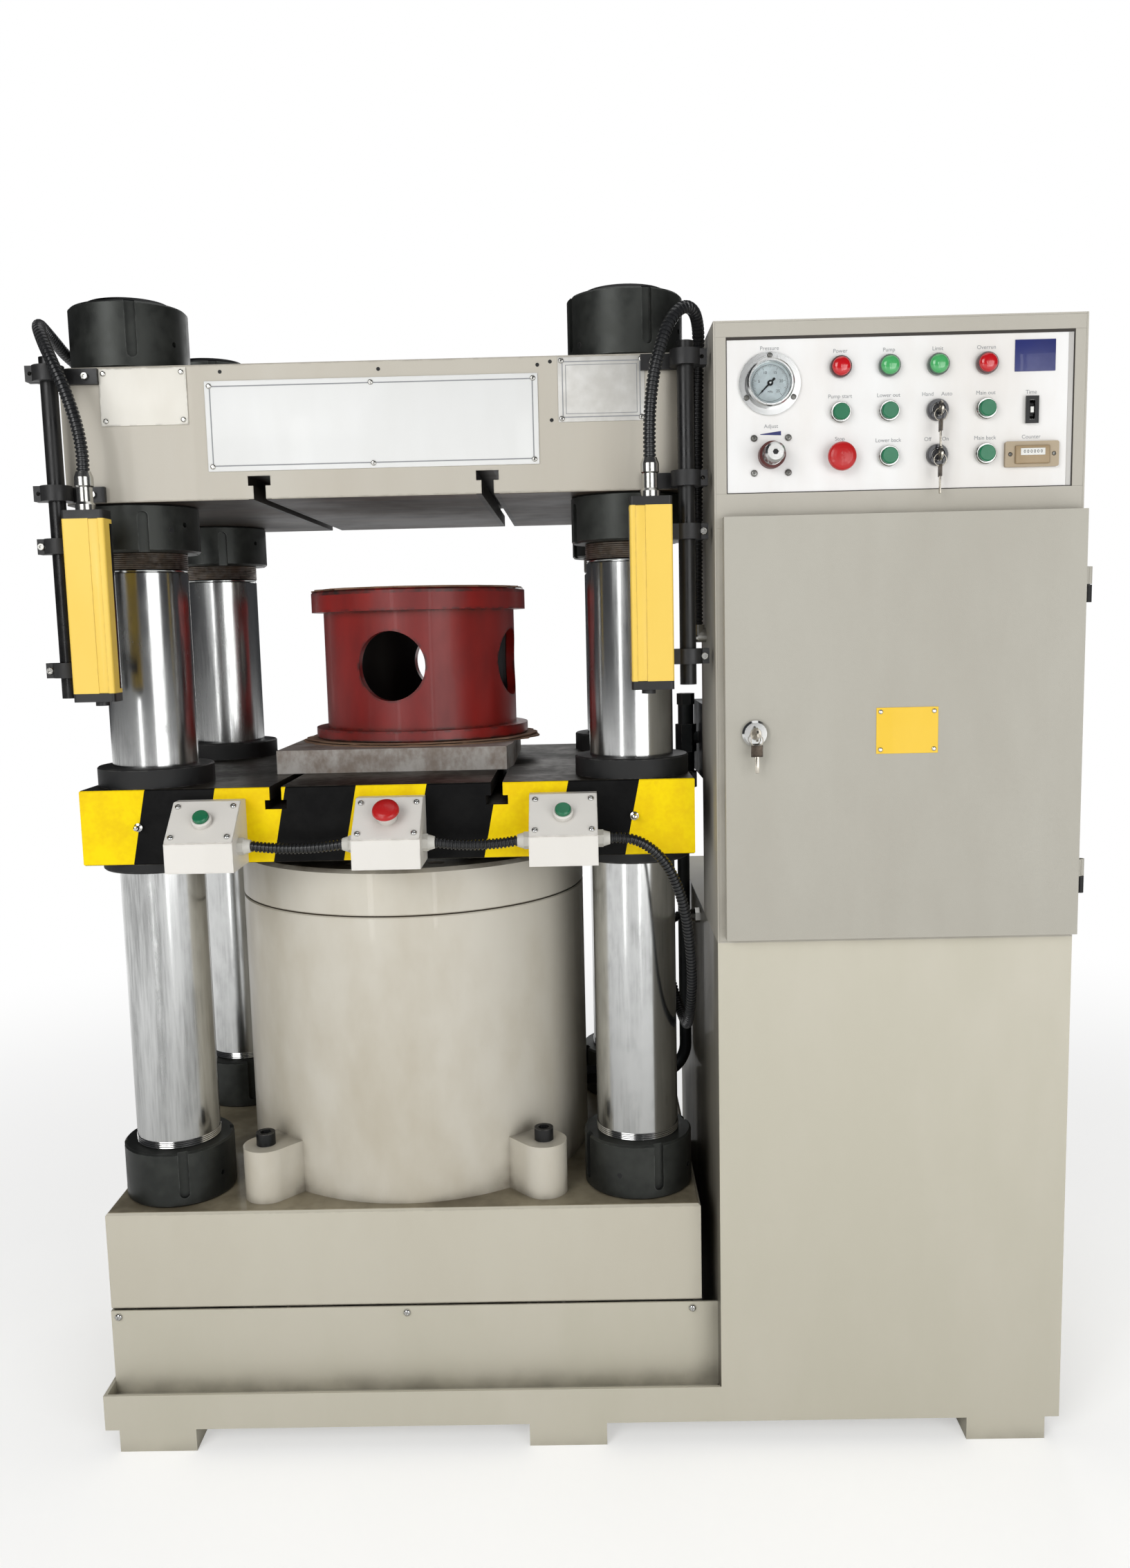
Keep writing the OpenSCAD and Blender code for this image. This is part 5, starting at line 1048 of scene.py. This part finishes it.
@dataclass
class Panel:
    """Dial, legends, window and loose fittings of the control panel."""

    face: float = -352.5
    columns: tuple[float, ...] = (667.0, 734.7, 802.4, 870.1)
    rows: tuple[float, ...] = (1614.0, 1552.5, 1491.0)
    gauge: tuple[float, float] = (568.5, 1594.0)
    knob: tuple[float, float] = (570.5, 1496.0)
    wheel: tuple[float, float] = (933.5, 1549.5)
    counter: tuple[float, float] = (934.5, 1489.0)

    def build(self) -> None:
        """Models the panel's pieces."""
        self.dial()
        self.legends()
        self.lamps()
        self.fittings()

    def dial(self) -> None:
        """Models the gauge's dial with its scale and numbers."""
        x, z = self.gauge
        y = self.face - 5.0
        disc = Bench.lathe("gauge_dial", (x, y, z), FRONT, [(3.2, 0), (28.4, 0), (28.4, 0.4), (3.2, 0.4)], 64)
        mount(disc, Body.FRAME, DIAL_FACE)
        marks: list[bpy.types.Object] = []
        for i in range(51):
            turn = math.radians(225 - 270 * i / 50)
            long = 5.0 if i % 10 == 0 else 3.6 if i % 5 == 0 else 2.2
            mark = Bench.slab(f"tick_{i}", (x + 24.6 - long, y - 0.5, z - 0.22), (x + 24.6, y - 0.4, z + 0.22))
            self.swing(mark, turn)
            marks.append(mark)
        for i in range(6):
            turn = math.radians(225 - 54 * i)
            spot = (x + 15.6 * math.cos(turn), y - 0.45, z + 15.6 * math.sin(turn))
            marks.append(Bench.words(f"number_{i}", str(i * 5), 5.4, spot))
        arc = Bench.lathe("arc", (x, y, z), FRONT, [(24.6, 0.4), (25.0, 0.4), (25.0, 0.5), (24.6, 0.5)], 72)
        marks += [arc, Bench.words("unit", "MPa", 4.0, (x, y - 0.45, z - 12.0))]
        mount(Bench.join("gauge_scale", marks), Body.FRAME, DIAL_INK)

    def swing(self, obj: bpy.types.Object, turn: float) -> None:
        """Turns a mark round the gauge's middle, in edit mode."""
        Bench.pick(obj)
        bpy.ops.object.mode_set(mode="EDIT")
        bpy.ops.mesh.select_all(action="SELECT")
        centre = tuple(at(self.gauge[0], self.face, self.gauge[1]))
        bpy.ops.transform.rotate(value=turn, orient_axis="Y", orient_type="GLOBAL", center_override=centre)
        bpy.ops.object.mode_set(mode="OBJECT")

    def legends(self) -> None:
        """Models the plain words over the controls."""
        words = [("Power", 0, 0), ("Pump", 1, 0), ("Limit", 2, 0), ("Overrun", 3, 0),
                 ("Pump start", 0, 1), ("Lower out", 1, 1), ("Hand     Auto", 2, 1), ("Main out", 3, 1),
                 ("Stop", 0, 2), ("Lower back", 1, 2), ("Off       On", 2, 2), ("Main back", 3, 2)]
        spots = [(text, self.columns[c], self.rows[r] + (25.5 if text == "Stop" else 22.0)) for text, c, r in words]
        spots += [("Pressure", self.gauge[0], 1642.0), ("Adjust", self.knob[0], 1536.0),
                  ("Time", self.wheel[0], 1574.0), ("Counter", self.counter[0], 1513.0)]
        pieces = [Bench.words(f"legend_{i}", text, 7.6, (x, self.face - 0.08, z)) for i, (text, x, z) in enumerate(spots)]
        mount(Bench.join("panel_legends", pieces), Body.FRAME, INK)

    def lamps(self) -> None:
        """Models the ribbed caps and dark sleeves of the pilot lights, and the key switches' black fronts."""
        cap = [(13.0, 8.2), (13.0, 10.4), (12.3, 12.6), (10.4, 14.5), (7.0, 15.9), (3.5, 16.4), (0, 16.5)]
        sleeve = [(14.8, 0), (15.0, 0.4), (15.0, 8.2), (14.2, 9.6), (13.1, 9.6), (13.1, 8.2)]
        for name, wanted, finish, dark in (("red", (0, 3), LENS_RED, RIM_RED), ("green", (1, 2), LENS_GREEN, RIM_GREEN)):
            spots = [(self.columns[i], self.face, self.rows[0]) for i in wanted]
            caps = [Bench.lathe(f"cap_{name}_{i}", spot, FRONT, cap, 32) for i, spot in enumerate(spots)]
            mount(Bench.join(f"pilot_caps_{name}", caps), Body.FRAME, finish)
            rims = [Bench.lathe(f"rim_{name}_{i}", spot, FRONT, sleeve, 32) for i, spot in enumerate(spots)]
            mount(Bench.join(f"pilot_rims_{name}", rims), Body.FRAME, dark)
        collar = [(14.8, 0), (15.0, 0.4), (15.0, 7.0), (13.4, 10.2), (9.6, 10.2), (8.6, 8.3)]
        front = [(7.9, 8.1), (7.9, 8.8), (7.2, 9.4), (0, 9.4)]
        for name, row, body in (("mode", 1, Body.MODE_KEY), ("ejector", 2, Body.EJECTOR_KEY)):
            spot = (self.columns[2], self.face, self.rows[row])
            mount(Bench.lathe(f"{name}_collar", spot, FRONT, collar, 32), Body.FRAME, SWITCH_BLACK)
            mount(Bench.lathe(f"{name}_front", spot, FRONT, front, 32), body, SWITCH_BLACK)

    def fittings(self) -> None:
        """Models the bare plate, the painted shadow line round the panel, the edge strip, and the valve's, counter's
        and wheel's small pieces.
        """
        y = self.face
        mount(Bench.slab("panel_plate", (909.5, y - 1.2, 1602), (966, y, 1645), 0.5), Body.FRAME, BLUE_PLATE)
        # A dark line round the panel's opening, widest at the top: painted shadow of the recess.
        edge = [Bench.outline("panel_shadow_line", (507.6, y, 1444.1), (992.4, y - 0.8, 1657.9), 1.3),
                Bench.slab("panel_shade", (508, y - 1.0, 1654), (992, y, 1657.8))]
        mount(Bench.join("panel_shadow_edge", edge), Body.FRAME, PANEL_SHADOW)
        mount(Bench.slab("panel_strip", (984, y - 0.7, 1446), (990.6, y, 1653.6), 0.2), Body.FRAME, STRIP)
        self.valve()
        x, z = self.counter
        box = Bench.slab("counter_box", (x - 24, y - 9.5, z - 13.5), (x + 24, y - 3.9, z + 11.5), 1.6, 3)
        mount(box, Body.FRAME, COUNTER_BOX)
        mount(Bench.slab("counter_window", (x - 17, y - 10.2, z - 2), (x + 17, y - 9.2, z + 7.5), 0.4), Body.FRAME, PALE)
        mount(Bench.words("counter_digits", "0 0 0 0 0 0", 6.0, (x, y - 10.3, z + 2.7)), Body.FRAME, DIAL_INK)
        heads = [Bench.screw(f"counter_screw_{s}", (x + s * 30.5, y - 4, z), FRONT, 2.9, 2.4) for s in (-1, 1)]
        mount(Bench.join("counter_screws", heads), Body.FRAME, DULL_SCREW)
        x, z = self.wheel
        mount(Bench.outline("wheel_surround", (x - 9.2, y - 5, z - 18.7), (x + 9.2, y - 5.8, z + 18.7), 5.5),
              Body.FRAME, BY_SLOT["wheel_black"])
        mount(Bench.slab("wheel_digit", (x - 2.3, y - 5.3, z - 4), (x + 2.3, y - 4.4, z + 4), 0.3), Body.TIME_WHEEL, PALE)

    def valve(self) -> None:
        """Models the valve's coloured band, its screws, its knob's socket as a flat dark hexagon of painted shade, and
        the wedge printed over it.
        """
        y = self.face
        x, z = self.knob
        band = Bench.lathe("valve_band", (x, y, z), FRONT, [(18.1, 0), (18.5, 0), (18.5, 15.6), (18.1, 16.1),
                                                            (14.6, 16.1), (14.6, 16.0)], 40)
        mount(band, Body.FRAME, VALVE_RED)
        heads = [Bench.screw(f"valve_screw_{sx}_{sz}", (x + 24 * sx, y - 1.2, z + 24 * sz), FRONT, 4.7, 2.6)
                 for sx in (-1, 1) for sz in (-1, 1)]
        heads += [Bench.screw(f"gauge_screw_{turn}", (self.gauge[0] + 38 * math.cos(math.radians(turn)), y - 4,
                                                      self.gauge[1] + 38 * math.sin(math.radians(turn))), FRONT, 3.9, 2.0)
                  for turn in (90, 210, 330)]
        mount(Bench.join("panel_screws", heads), Body.FRAME, DULL_SCREW)
        # Flat dark hexagon: painted shade in place of the socket's hollow.
        socket = Bench.lathe("knob_socket_shade", (x, y - 43, z), FRONT, [(4.2, -0.2), (4.2, 0.12), (0, 0.12)], 6)
        mount(socket, Body.KNOB, BY_SLOT["bolt_black"])
        wedge = Bench.slab("valve_wedge", (x - 15, y - 0.15, z + 27.5), (x + 14, y + 0.1, z + 33.5))
        Bench.choose(wedge, lambda face: face.normal.x < -0.9)
        bpy.ops.transform.resize(value=(1, 1, 0.15), center_override=tuple(at(x - 15, y, z + 29)))
        bpy.ops.object.mode_set(mode="OBJECT")
        mount(wedge, Body.FRAME, BLUE_PLATE)


@dataclass
class LooseKeys:
    """A ring and a spare key under each key switch and under the door's lock."""

    def build(self) -> None:
        """Models the rings and spare keys."""
        self.bunch("mode_spare", (802.4, -372.5, 1552.5), Body.MODE_KEY)
        self.bunch("ejector_spare", (802.4, -372.5, 1491.0), Body.EJECTOR_KEY)
        self.bunch("door_spare", (543.0, -396.0, 1106.0), Body.DOOR_KEY, wide=True)

    def bunch(self, name: str, bow: Point, body: Body, wide: bool = False) -> None:
        """Models one ring through a key's bow with a spare key hanging on it.

        Args:
            name: The pieces' first name.
            bow: The middle of the key's bow.
            body: The key's body.
            wide: Whether the spare key hangs with its flat side to the front.
        """
        x, y, z = bow
        bpy.ops.object.select_all(action="DESELECT")
        bpy.ops.mesh.primitive_torus_add(location=at(x, y, z - 8.5), rotation=(math.pi / 2, 0, 0), major_radius=8.6 * MM,
                                         minor_radius=0.7 * MM, major_segments=32, minor_segments=8)
        ring = Bench.settle(Bench.name(name + "_ring"), 60)
        low = z - 17.0
        (hx, hy), (sx, sy) = ((8.5, 1.2), (2.8, 1.0)) if wide else ((1.1, 8.0), (1.1, 2.6))
        shank = Bench.slab(name + "_shank", (x - sx, y - sy, low - 38), (x + sx, y + sy, low - 13.5), 0.8)
        mount(Bench.join(name, [ring, shank]), body, BY_SLOT["key_steel"])
        head = Bench.slab(name + "_bow", (x - hx, y - hy, low - 15), (x + hx, y + hy, low + 2), 1.0)
        mount(head, body, KEY_BOW)


@dataclass
class DoorTrim:
    """The bare plate on the door."""

    face: float = -376.0
    middle: tuple[float, float] = (759.5, 1106.0)
    half: tuple[float, float] = (44.0, 33.0)

    def build(self) -> None:
        """Models the plate and its four rivets."""
        (x, z), (wide, high) = self.middle, self.half
        plate = Bench.slab("door_plate", (x - wide, self.face - 0.8, z - high), (x + wide, self.face, z + high), 0.3, 1)
        mount(plate, Body.DOOR, YELLOW_PLATE)
        heads = [Bench.screw(f"door_rivet_{i}_{k}", (x + i * (wide - 6), self.face - 0.8, z + k * (high - 6)), FRONT, 3.4, 1.8)
                 for i in (-1, 1) for k in (-1, 1)]
        mount(Bench.join("door_rivets", heads), Body.DOOR, BY_SLOT["gland_metal"])


@dataclass
class BaseTrim:
    """Screws of the skirt and the covers."""

    def build(self) -> None:
        """Models the screws."""
        first = Bench.screw("skirt_screw", (0, -313, 200), FRONT, 6.0, 4.0)
        heads = [Bench.copy(first, f"skirt_screw_{x}", (x, 0, 0)) for x in (-453, 2, 450)]
        bpy.data.objects.remove(first)
        mount(Bench.join("skirt_screws", heads), Body.FRAME, BY_SLOT["bezel_chrome"])


@dataclass
class ColumnTrim:
    """Bare threads at the columns' nuts, and the nuts' set-screw holes."""

    columns: tuple[tuple[float, float], ...] = ((-373, -210), (373, -210), (-373, 210), (373, 210))
    radius: float = 65.0
    nut: float = 86.0

    def build(self) -> None:
        """Models the threads and the holes."""
        mount(Bench.join("base_threads", [self.thread(f"low_{i}", spot, 458.2, 4) for i, spot in enumerate(self.columns)]),
              Body.FRAME, BY_SLOT["ram_steel"])
        mount(Bench.join("crown_threads", [self.thread(f"top_{i}", spot, 1364.0, 8) for i, spot in enumerate(self.columns)]),
              Body.FRAME, BARE_THREAD)
        holes = [self.hole("hole_base", (373, -210), -22.0, 408), self.hole("hole_crown", (373, -210), -53.0, 1672),
                 self.hole("hole_left", (-373, -210), 48.0, 1420)]
        mount(Bench.join("nut_holes", holes), Body.FRAME, BY_SLOT["bush_black"])

    def thread(self, name: str, spot: tuple[float, float], low: float, turns: int) -> bpy.types.Object:
        """Models a short run of thread round one column.

        Args:
            name: The piece's name.
            spot: The column's middle.
            low: Where the thread starts.
            turns: How many ridges it has.

        Returns:
            The new object.
        """
        steps = [(self.radius + (0.9 if k % 2 else 0.1), k * 1.5) for k in range(2 * turns + 1)]
        return Bench.lathe(name, (*spot, low), UP, steps, 64)

    def hole(self, name: str, spot: tuple[float, float], turn: float, z: float) -> bpy.types.Object:
        """Models one set-screw hole in a nut's side as a flat dark disc of painted shade, turned from the front by an
        angle.
        """
        a = math.radians(turn)
        out = Vector((math.sin(a), -math.cos(a), 0.0))
        place = Vector((*spot, z)) + out * (self.nut - 0.3)
        return Bench.lathe(name, place, out, [(4.6, 0), (4.6, 0.5), (0, 0.5)], 20)


@dataclass
class Switchgear:
    """Fronts of the devices on the plate behind the door."""

    left: float = 590.0
    rails: tuple[float, ...] = (965.0, 1134.8, 1285.1)

    def build(self) -> None:
        """Models the fronts of the contactors, the relays and the terminals."""
        dark: list[bpy.types.Object] = []
        lights: list[bpy.types.Object] = []
        for i in range(4):
            x = self.left + 54 * i
            dark.append(Bench.slab(f"contactor_{i}", (x + 5, -257.5, self.rails[1] - 22), (x + 40, -255.4, self.rails[1] + 22), 0.8))
            lights.append(Bench.slab(f"slide_{i}", (x + 17, -258.3, self.rails[1] - 7), (x + 28, -257.4, self.rails[1] + 7), 0.4))
        for i in range(6):
            x = self.left + 30 * i
            dark.append(Bench.slab(f"relay_{i}", (x + 4, -241.6, self.rails[2] - 28), (x + 24, -240.4, self.rails[2] + 12), 0.6))
            lights.append(Bench.slab(f"lever_{i}", (x + 9, -243.4, self.rails[2] + 18), (x + 19, -240.4, self.rails[2] + 27), 0.8))
        for i in range(40):
            x = self.left + 8 * i
            dark.append(Bench.slab(f"terminal_{i}", (x + 2, -226.2, self.rails[0] - 8), (x + 6, -225.4, self.rails[0] + 8)))
        mount(Bench.join("switchgear_fronts", dark), Body.FRAME, DEVICE_DARK)
        mount(Bench.join("switchgear_slides", lights), Body.FRAME, DEVICE_ORANGE)


@dataclass
class Packing:
    """Torn boards under and over the spacer."""

    centre: tuple[float, float] = (13.0, 80.0)

    def build(self) -> None:
        """Models the boards in layers."""
        lower = [self.board("card_0", 208, 186, 1073.0, 2.2, 3), self.board("card_1", 196, 178, 1075.2, 1.9, 5),
                 self.board("card_2", 203, 183, 1077.1, 1.9, 8), self.board("card_3", 183, 182, 1333.0, 1.4, 11),
                 self.board("card_4", 179, 180, 1334.4, 1.6, 13)]
        piece = mount(Bench.join("packing_cards", lower), Body.TABLE, BY_SLOT["board"])
        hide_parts("packing_board")

    def board(self, name: str, rx: float, ry: float, z: float, thick: float, seed: int) -> bpy.types.Object:
        """Models one board with a torn edge.

        Args:
            name: The board's name.
            rx: Half its width.
            ry: Half its depth.
            z: Its underside.
            thick: Its thickness.
            seed: Which tear it has.

        Returns:
            The new object.
        """
        middle = at(self.centre[0], self.centre[1], z)
        bpy.ops.object.select_all(action="DESELECT")
        bpy.ops.mesh.primitive_circle_add(vertices=72, radius=1.0, fill_type="NGON", location=middle)
        obj = Bench.name(name)
        bpy.ops.object.mode_set(mode="EDIT")
        bpy.ops.mesh.select_mode(type="VERT")
        bpy.ops.mesh.select_all(action="SELECT")
        bpy.ops.transform.resize(value=(rx * MM, ry * MM, 1.0), center_override=tuple(middle))
        bpy.ops.transform.vertex_random(offset=5.0 * MM, uniform=0.6, normal=0.0, seed=seed)
        bpy.ops.transform.resize(value=(1.0, 1.0, 0.0), center_override=tuple(middle))
        bpy.ops.mesh.extrude_region_move(TRANSFORM_OT_translate={"value": (0, 0, thick * MM)})
        bpy.ops.mesh.select_all(action="SELECT")
        bpy.ops.mesh.normals_make_consistent(inside=False)
        bpy.ops.object.mode_set(mode="OBJECT")
        return Bench.settle(obj, 30)


@dataclass
class Studio:
    """Camera, soft light, floor and background."""

    eye: Point = (292.9, -2175.6, 1263.8)
    yaw: float = -0.0127
    pitch: float = -0.1241
    roll: float = -0.0231
    focal: float = 1824.9
    tall: int = 2268

    def build(self) -> None:
        """Sets up the whole studio."""
        self.camera()
        self.world()
        self.floor()
        self.light("key", (-2.0, -3.6, 2.7), (0.0, 0.0, 0.9), (2.4, 2.0), 58.0)
        self.light("fill", (2.2, -3.5, 1.3), (0.0, 0.0, 0.6), (2.0, 2.2), 38.0)
        self.light("top", (0.2, 0.2, 4.0), (0.0, 0.0, 1.0), (2.6, 2.0), 18.0)
        self.light("strip_left", (-1.5, -3.2, 1.1), (-0.5, 0.0, 0.9), (0.22, 2.4), 10.0)
        self.light("strip_right", (0.9, -3.4, 1.1), (0.0, 0.0, 0.9), (0.16, 2.4), 7.0)
        self.light("rear", (0.6, 3.4, 2.8), (0.0, 0.0, 0.9), (2.4, 1.8), 26.0)

    def camera(self) -> None:
        """Puts the camera where the photo was taken."""
        ahead = Vector((math.sin(self.yaw) * math.cos(self.pitch), math.cos(self.yaw) * math.cos(self.pitch),
                        math.sin(self.pitch)))
        right = ahead.cross(Vector(UP)).normalized()
        up = right.cross(ahead)
        turned = right * math.cos(self.roll) + up * math.sin(self.roll)
        above = up * math.cos(self.roll) - right * math.sin(self.roll)
        data = bpy.data.cameras.new("camera")
        data.sensor_fit = "VERTICAL"
        data.sensor_height = 36.0
        data.lens = self.focal / self.tall * 36.0
        data.clip_end = 60.0
        camera = bpy.data.objects.new("camera", data)
        bpy.context.collection.objects.link(camera)
        place = at(*self.eye)
        camera.matrix_world = Matrix((
            (turned.x, above.x, -ahead.x, place.x), (turned.y, above.y, -ahead.y, place.y),
            (turned.z, above.z, -ahead.z, place.z), (0, 0, 0, 1)))
        bpy.context.scene.camera = camera

    def world(self) -> None:
        """Makes the background white to the camera and dimmer to everything it lights."""
        world = bpy.data.worlds.new("studio")
        bpy.context.scene.world = world
        world.use_nodes = True
        graph = Graph(world.node_tree)
        seen = graph.add("ShaderNodeLightPath")
        shine = graph.mix((0.25, 0.25, 0.25, 1.0), (0.045, 0.046, 0.05, 1.0), seen.outputs["Is Glossy Ray"])
        colour = graph.mix(shine, (1.0, 1.0, 1.0, 1.0), seen.outputs["Is Camera Ray"])
        graph.put(world.node_tree.nodes["Background"].inputs["Color"], colour)
        bpy.context.scene.view_settings.view_transform = "Standard"

    def floor(self) -> None:
        """Lays a pale floor that fades into the background."""
        bpy.ops.object.select_all(action="DESELECT")
        bpy.ops.mesh.primitive_circle_add(vertices=96, radius=14.0, fill_type="NGON", location=(0, 0, 0))
        floor = Bench.name("floor")
        made = bpy.data.materials.new("floor")
        made.use_nodes = True
        graph = Graph(made.node_tree)
        shader = made.node_tree.nodes["Principled BSDF"]
        patch = graph.effect(Effects.cloud(), Scale=0.6, Stretch=Vector((1, 1, 1)))
        graph.put(shader.inputs["Base Color"], graph.mix(linear((243, 243, 242)), linear((240, 240, 239)), patch))
        graph.put(shader.inputs["Roughness"], 0.9)
        seen = graph.add("ShaderNodeLightPath").outputs["Is Camera Ray"]
        graph.put(shader.inputs["Emission Color"], (1.0, 1.0, 1.0, 1.0))
        graph.put(shader.inputs["Emission Strength"], graph.math("MULTIPLY", seen, 0.4))
        reach = graph.add("ShaderNodeVectorMath", {0: Effects.place(graph)}, operation="LENGTH").outputs["Value"]
        glow = graph.add("ShaderNodeEmission", {"Color": (1.0, 1.0, 1.0, 1.0), "Strength": 1.0})
        blend = graph.add("ShaderNodeMixShader", {0: graph.ramp(reach, 1.1, 3.2), 1: shader.outputs[0],
                                                  2: glow.outputs[0]})
        graph.put(made.node_tree.nodes["Material Output"].inputs["Surface"], blend.outputs[0])
        floor.data.materials.append(made)

    def light(self, name: str, place: Point, target: Point, size: tuple[float, float], power: float) -> None:
        """Hangs one soft rectangular light.

        Args:
            name: The light's name.
            place: Where it hangs, in the row frame.
            target: What it points at.
            size: Its width and height.
            power: Its power in watts.
        """
        data = bpy.data.lights.new(name, "AREA")
        data.shape = "RECTANGLE"
        data.size, data.size_y = size
        data.energy = power
        lamp = bpy.data.objects.new(name, data)
        bpy.context.collection.objects.link(lamp)
        lamp.location = place
        lamp.rotation_euler = (Vector(target) - Vector(place)).to_track_quat("-Z", "Y").to_euler()


class Press:
    """The whole press: dresses every CAD node and adds the pieces that the photo shows."""

    def __init__(self) -> None:
        """Gathers the sub-assemblies."""
        self.studio = Studio()
        self.parts: Iterable = (Conduits(), CrownTrim(), CurtainTrim(), TableTrim(), Panel(), LooseKeys(), DoorTrim(),
                                BaseTrim(), ColumnTrim(), Switchgear(), Packing())

    def dress_nodes(self) -> None:
        """Gives each CAD node the finish of its record slot, or its own kind of that finish."""
        slots = {part["node"]: part["material_slot"] for part in frame["record"]["subparts"]}
        cylinder = CylinderPaint("frame_paint", (206, 201, 188), 0.36, shade=(184, 175, 155), clouds=0.75, grime=1.1,
                                 stretch=(1.0, 1.0, 0.5), coat=0.2)
        # The housing's and cabinet's walls towards the columns carry painted shade.
        wall = WallPaint("housing_paint", BEIGE, 0.36, shade=(193, 189, 170), grime=0.55, clouds=0.5)
        own: dict[str, Finish] = {
            "cylinder_body": cylinder, "cylinder_gland": cylinder, "base_frame": wall,
            "base_block": BlockPaint("frame_paint", BEIGE, 0.42, shade=(192, 185, 167), grime=0.7, wear=0.2),
            "crown": CrownPaint("frame_paint", (190, 185, 173), 0.46, shade=(184, 177, 163), clouds=0.6, grime=0.3,
                                wear=0.35, stretch=(1.0, 1.0, 0.2)),
            "cabinet_body": WallPaint("cabinet_paint", (184, 180, 169), 0.5, grease=0.15, shade=(176, 171, 159), peel=900.0,
                                      relief=0.32, grime=0.4, coat=0.0)}
        for name, obj in frame["nodes"].items():
            finish = own.get(name, BY_SLOT[slots[name]])
            obj.data.materials.clear()
            obj.data.materials.append(finish.material())
            LOG.info("%s takes %s", name, finish.slot)

    def build(self) -> None:
        """Builds everything in order."""
        self.studio.build()
        for part in self.parts:
            LOG.info("building %s", type(part).__name__)
            part.build()
        self.dress_nodes()


def main() -> None:
    logging.basicConfig(level=logging.INFO, format="%(name)s: %(message)s")
    Press().build()


if __name__ == "__main__":
    main()
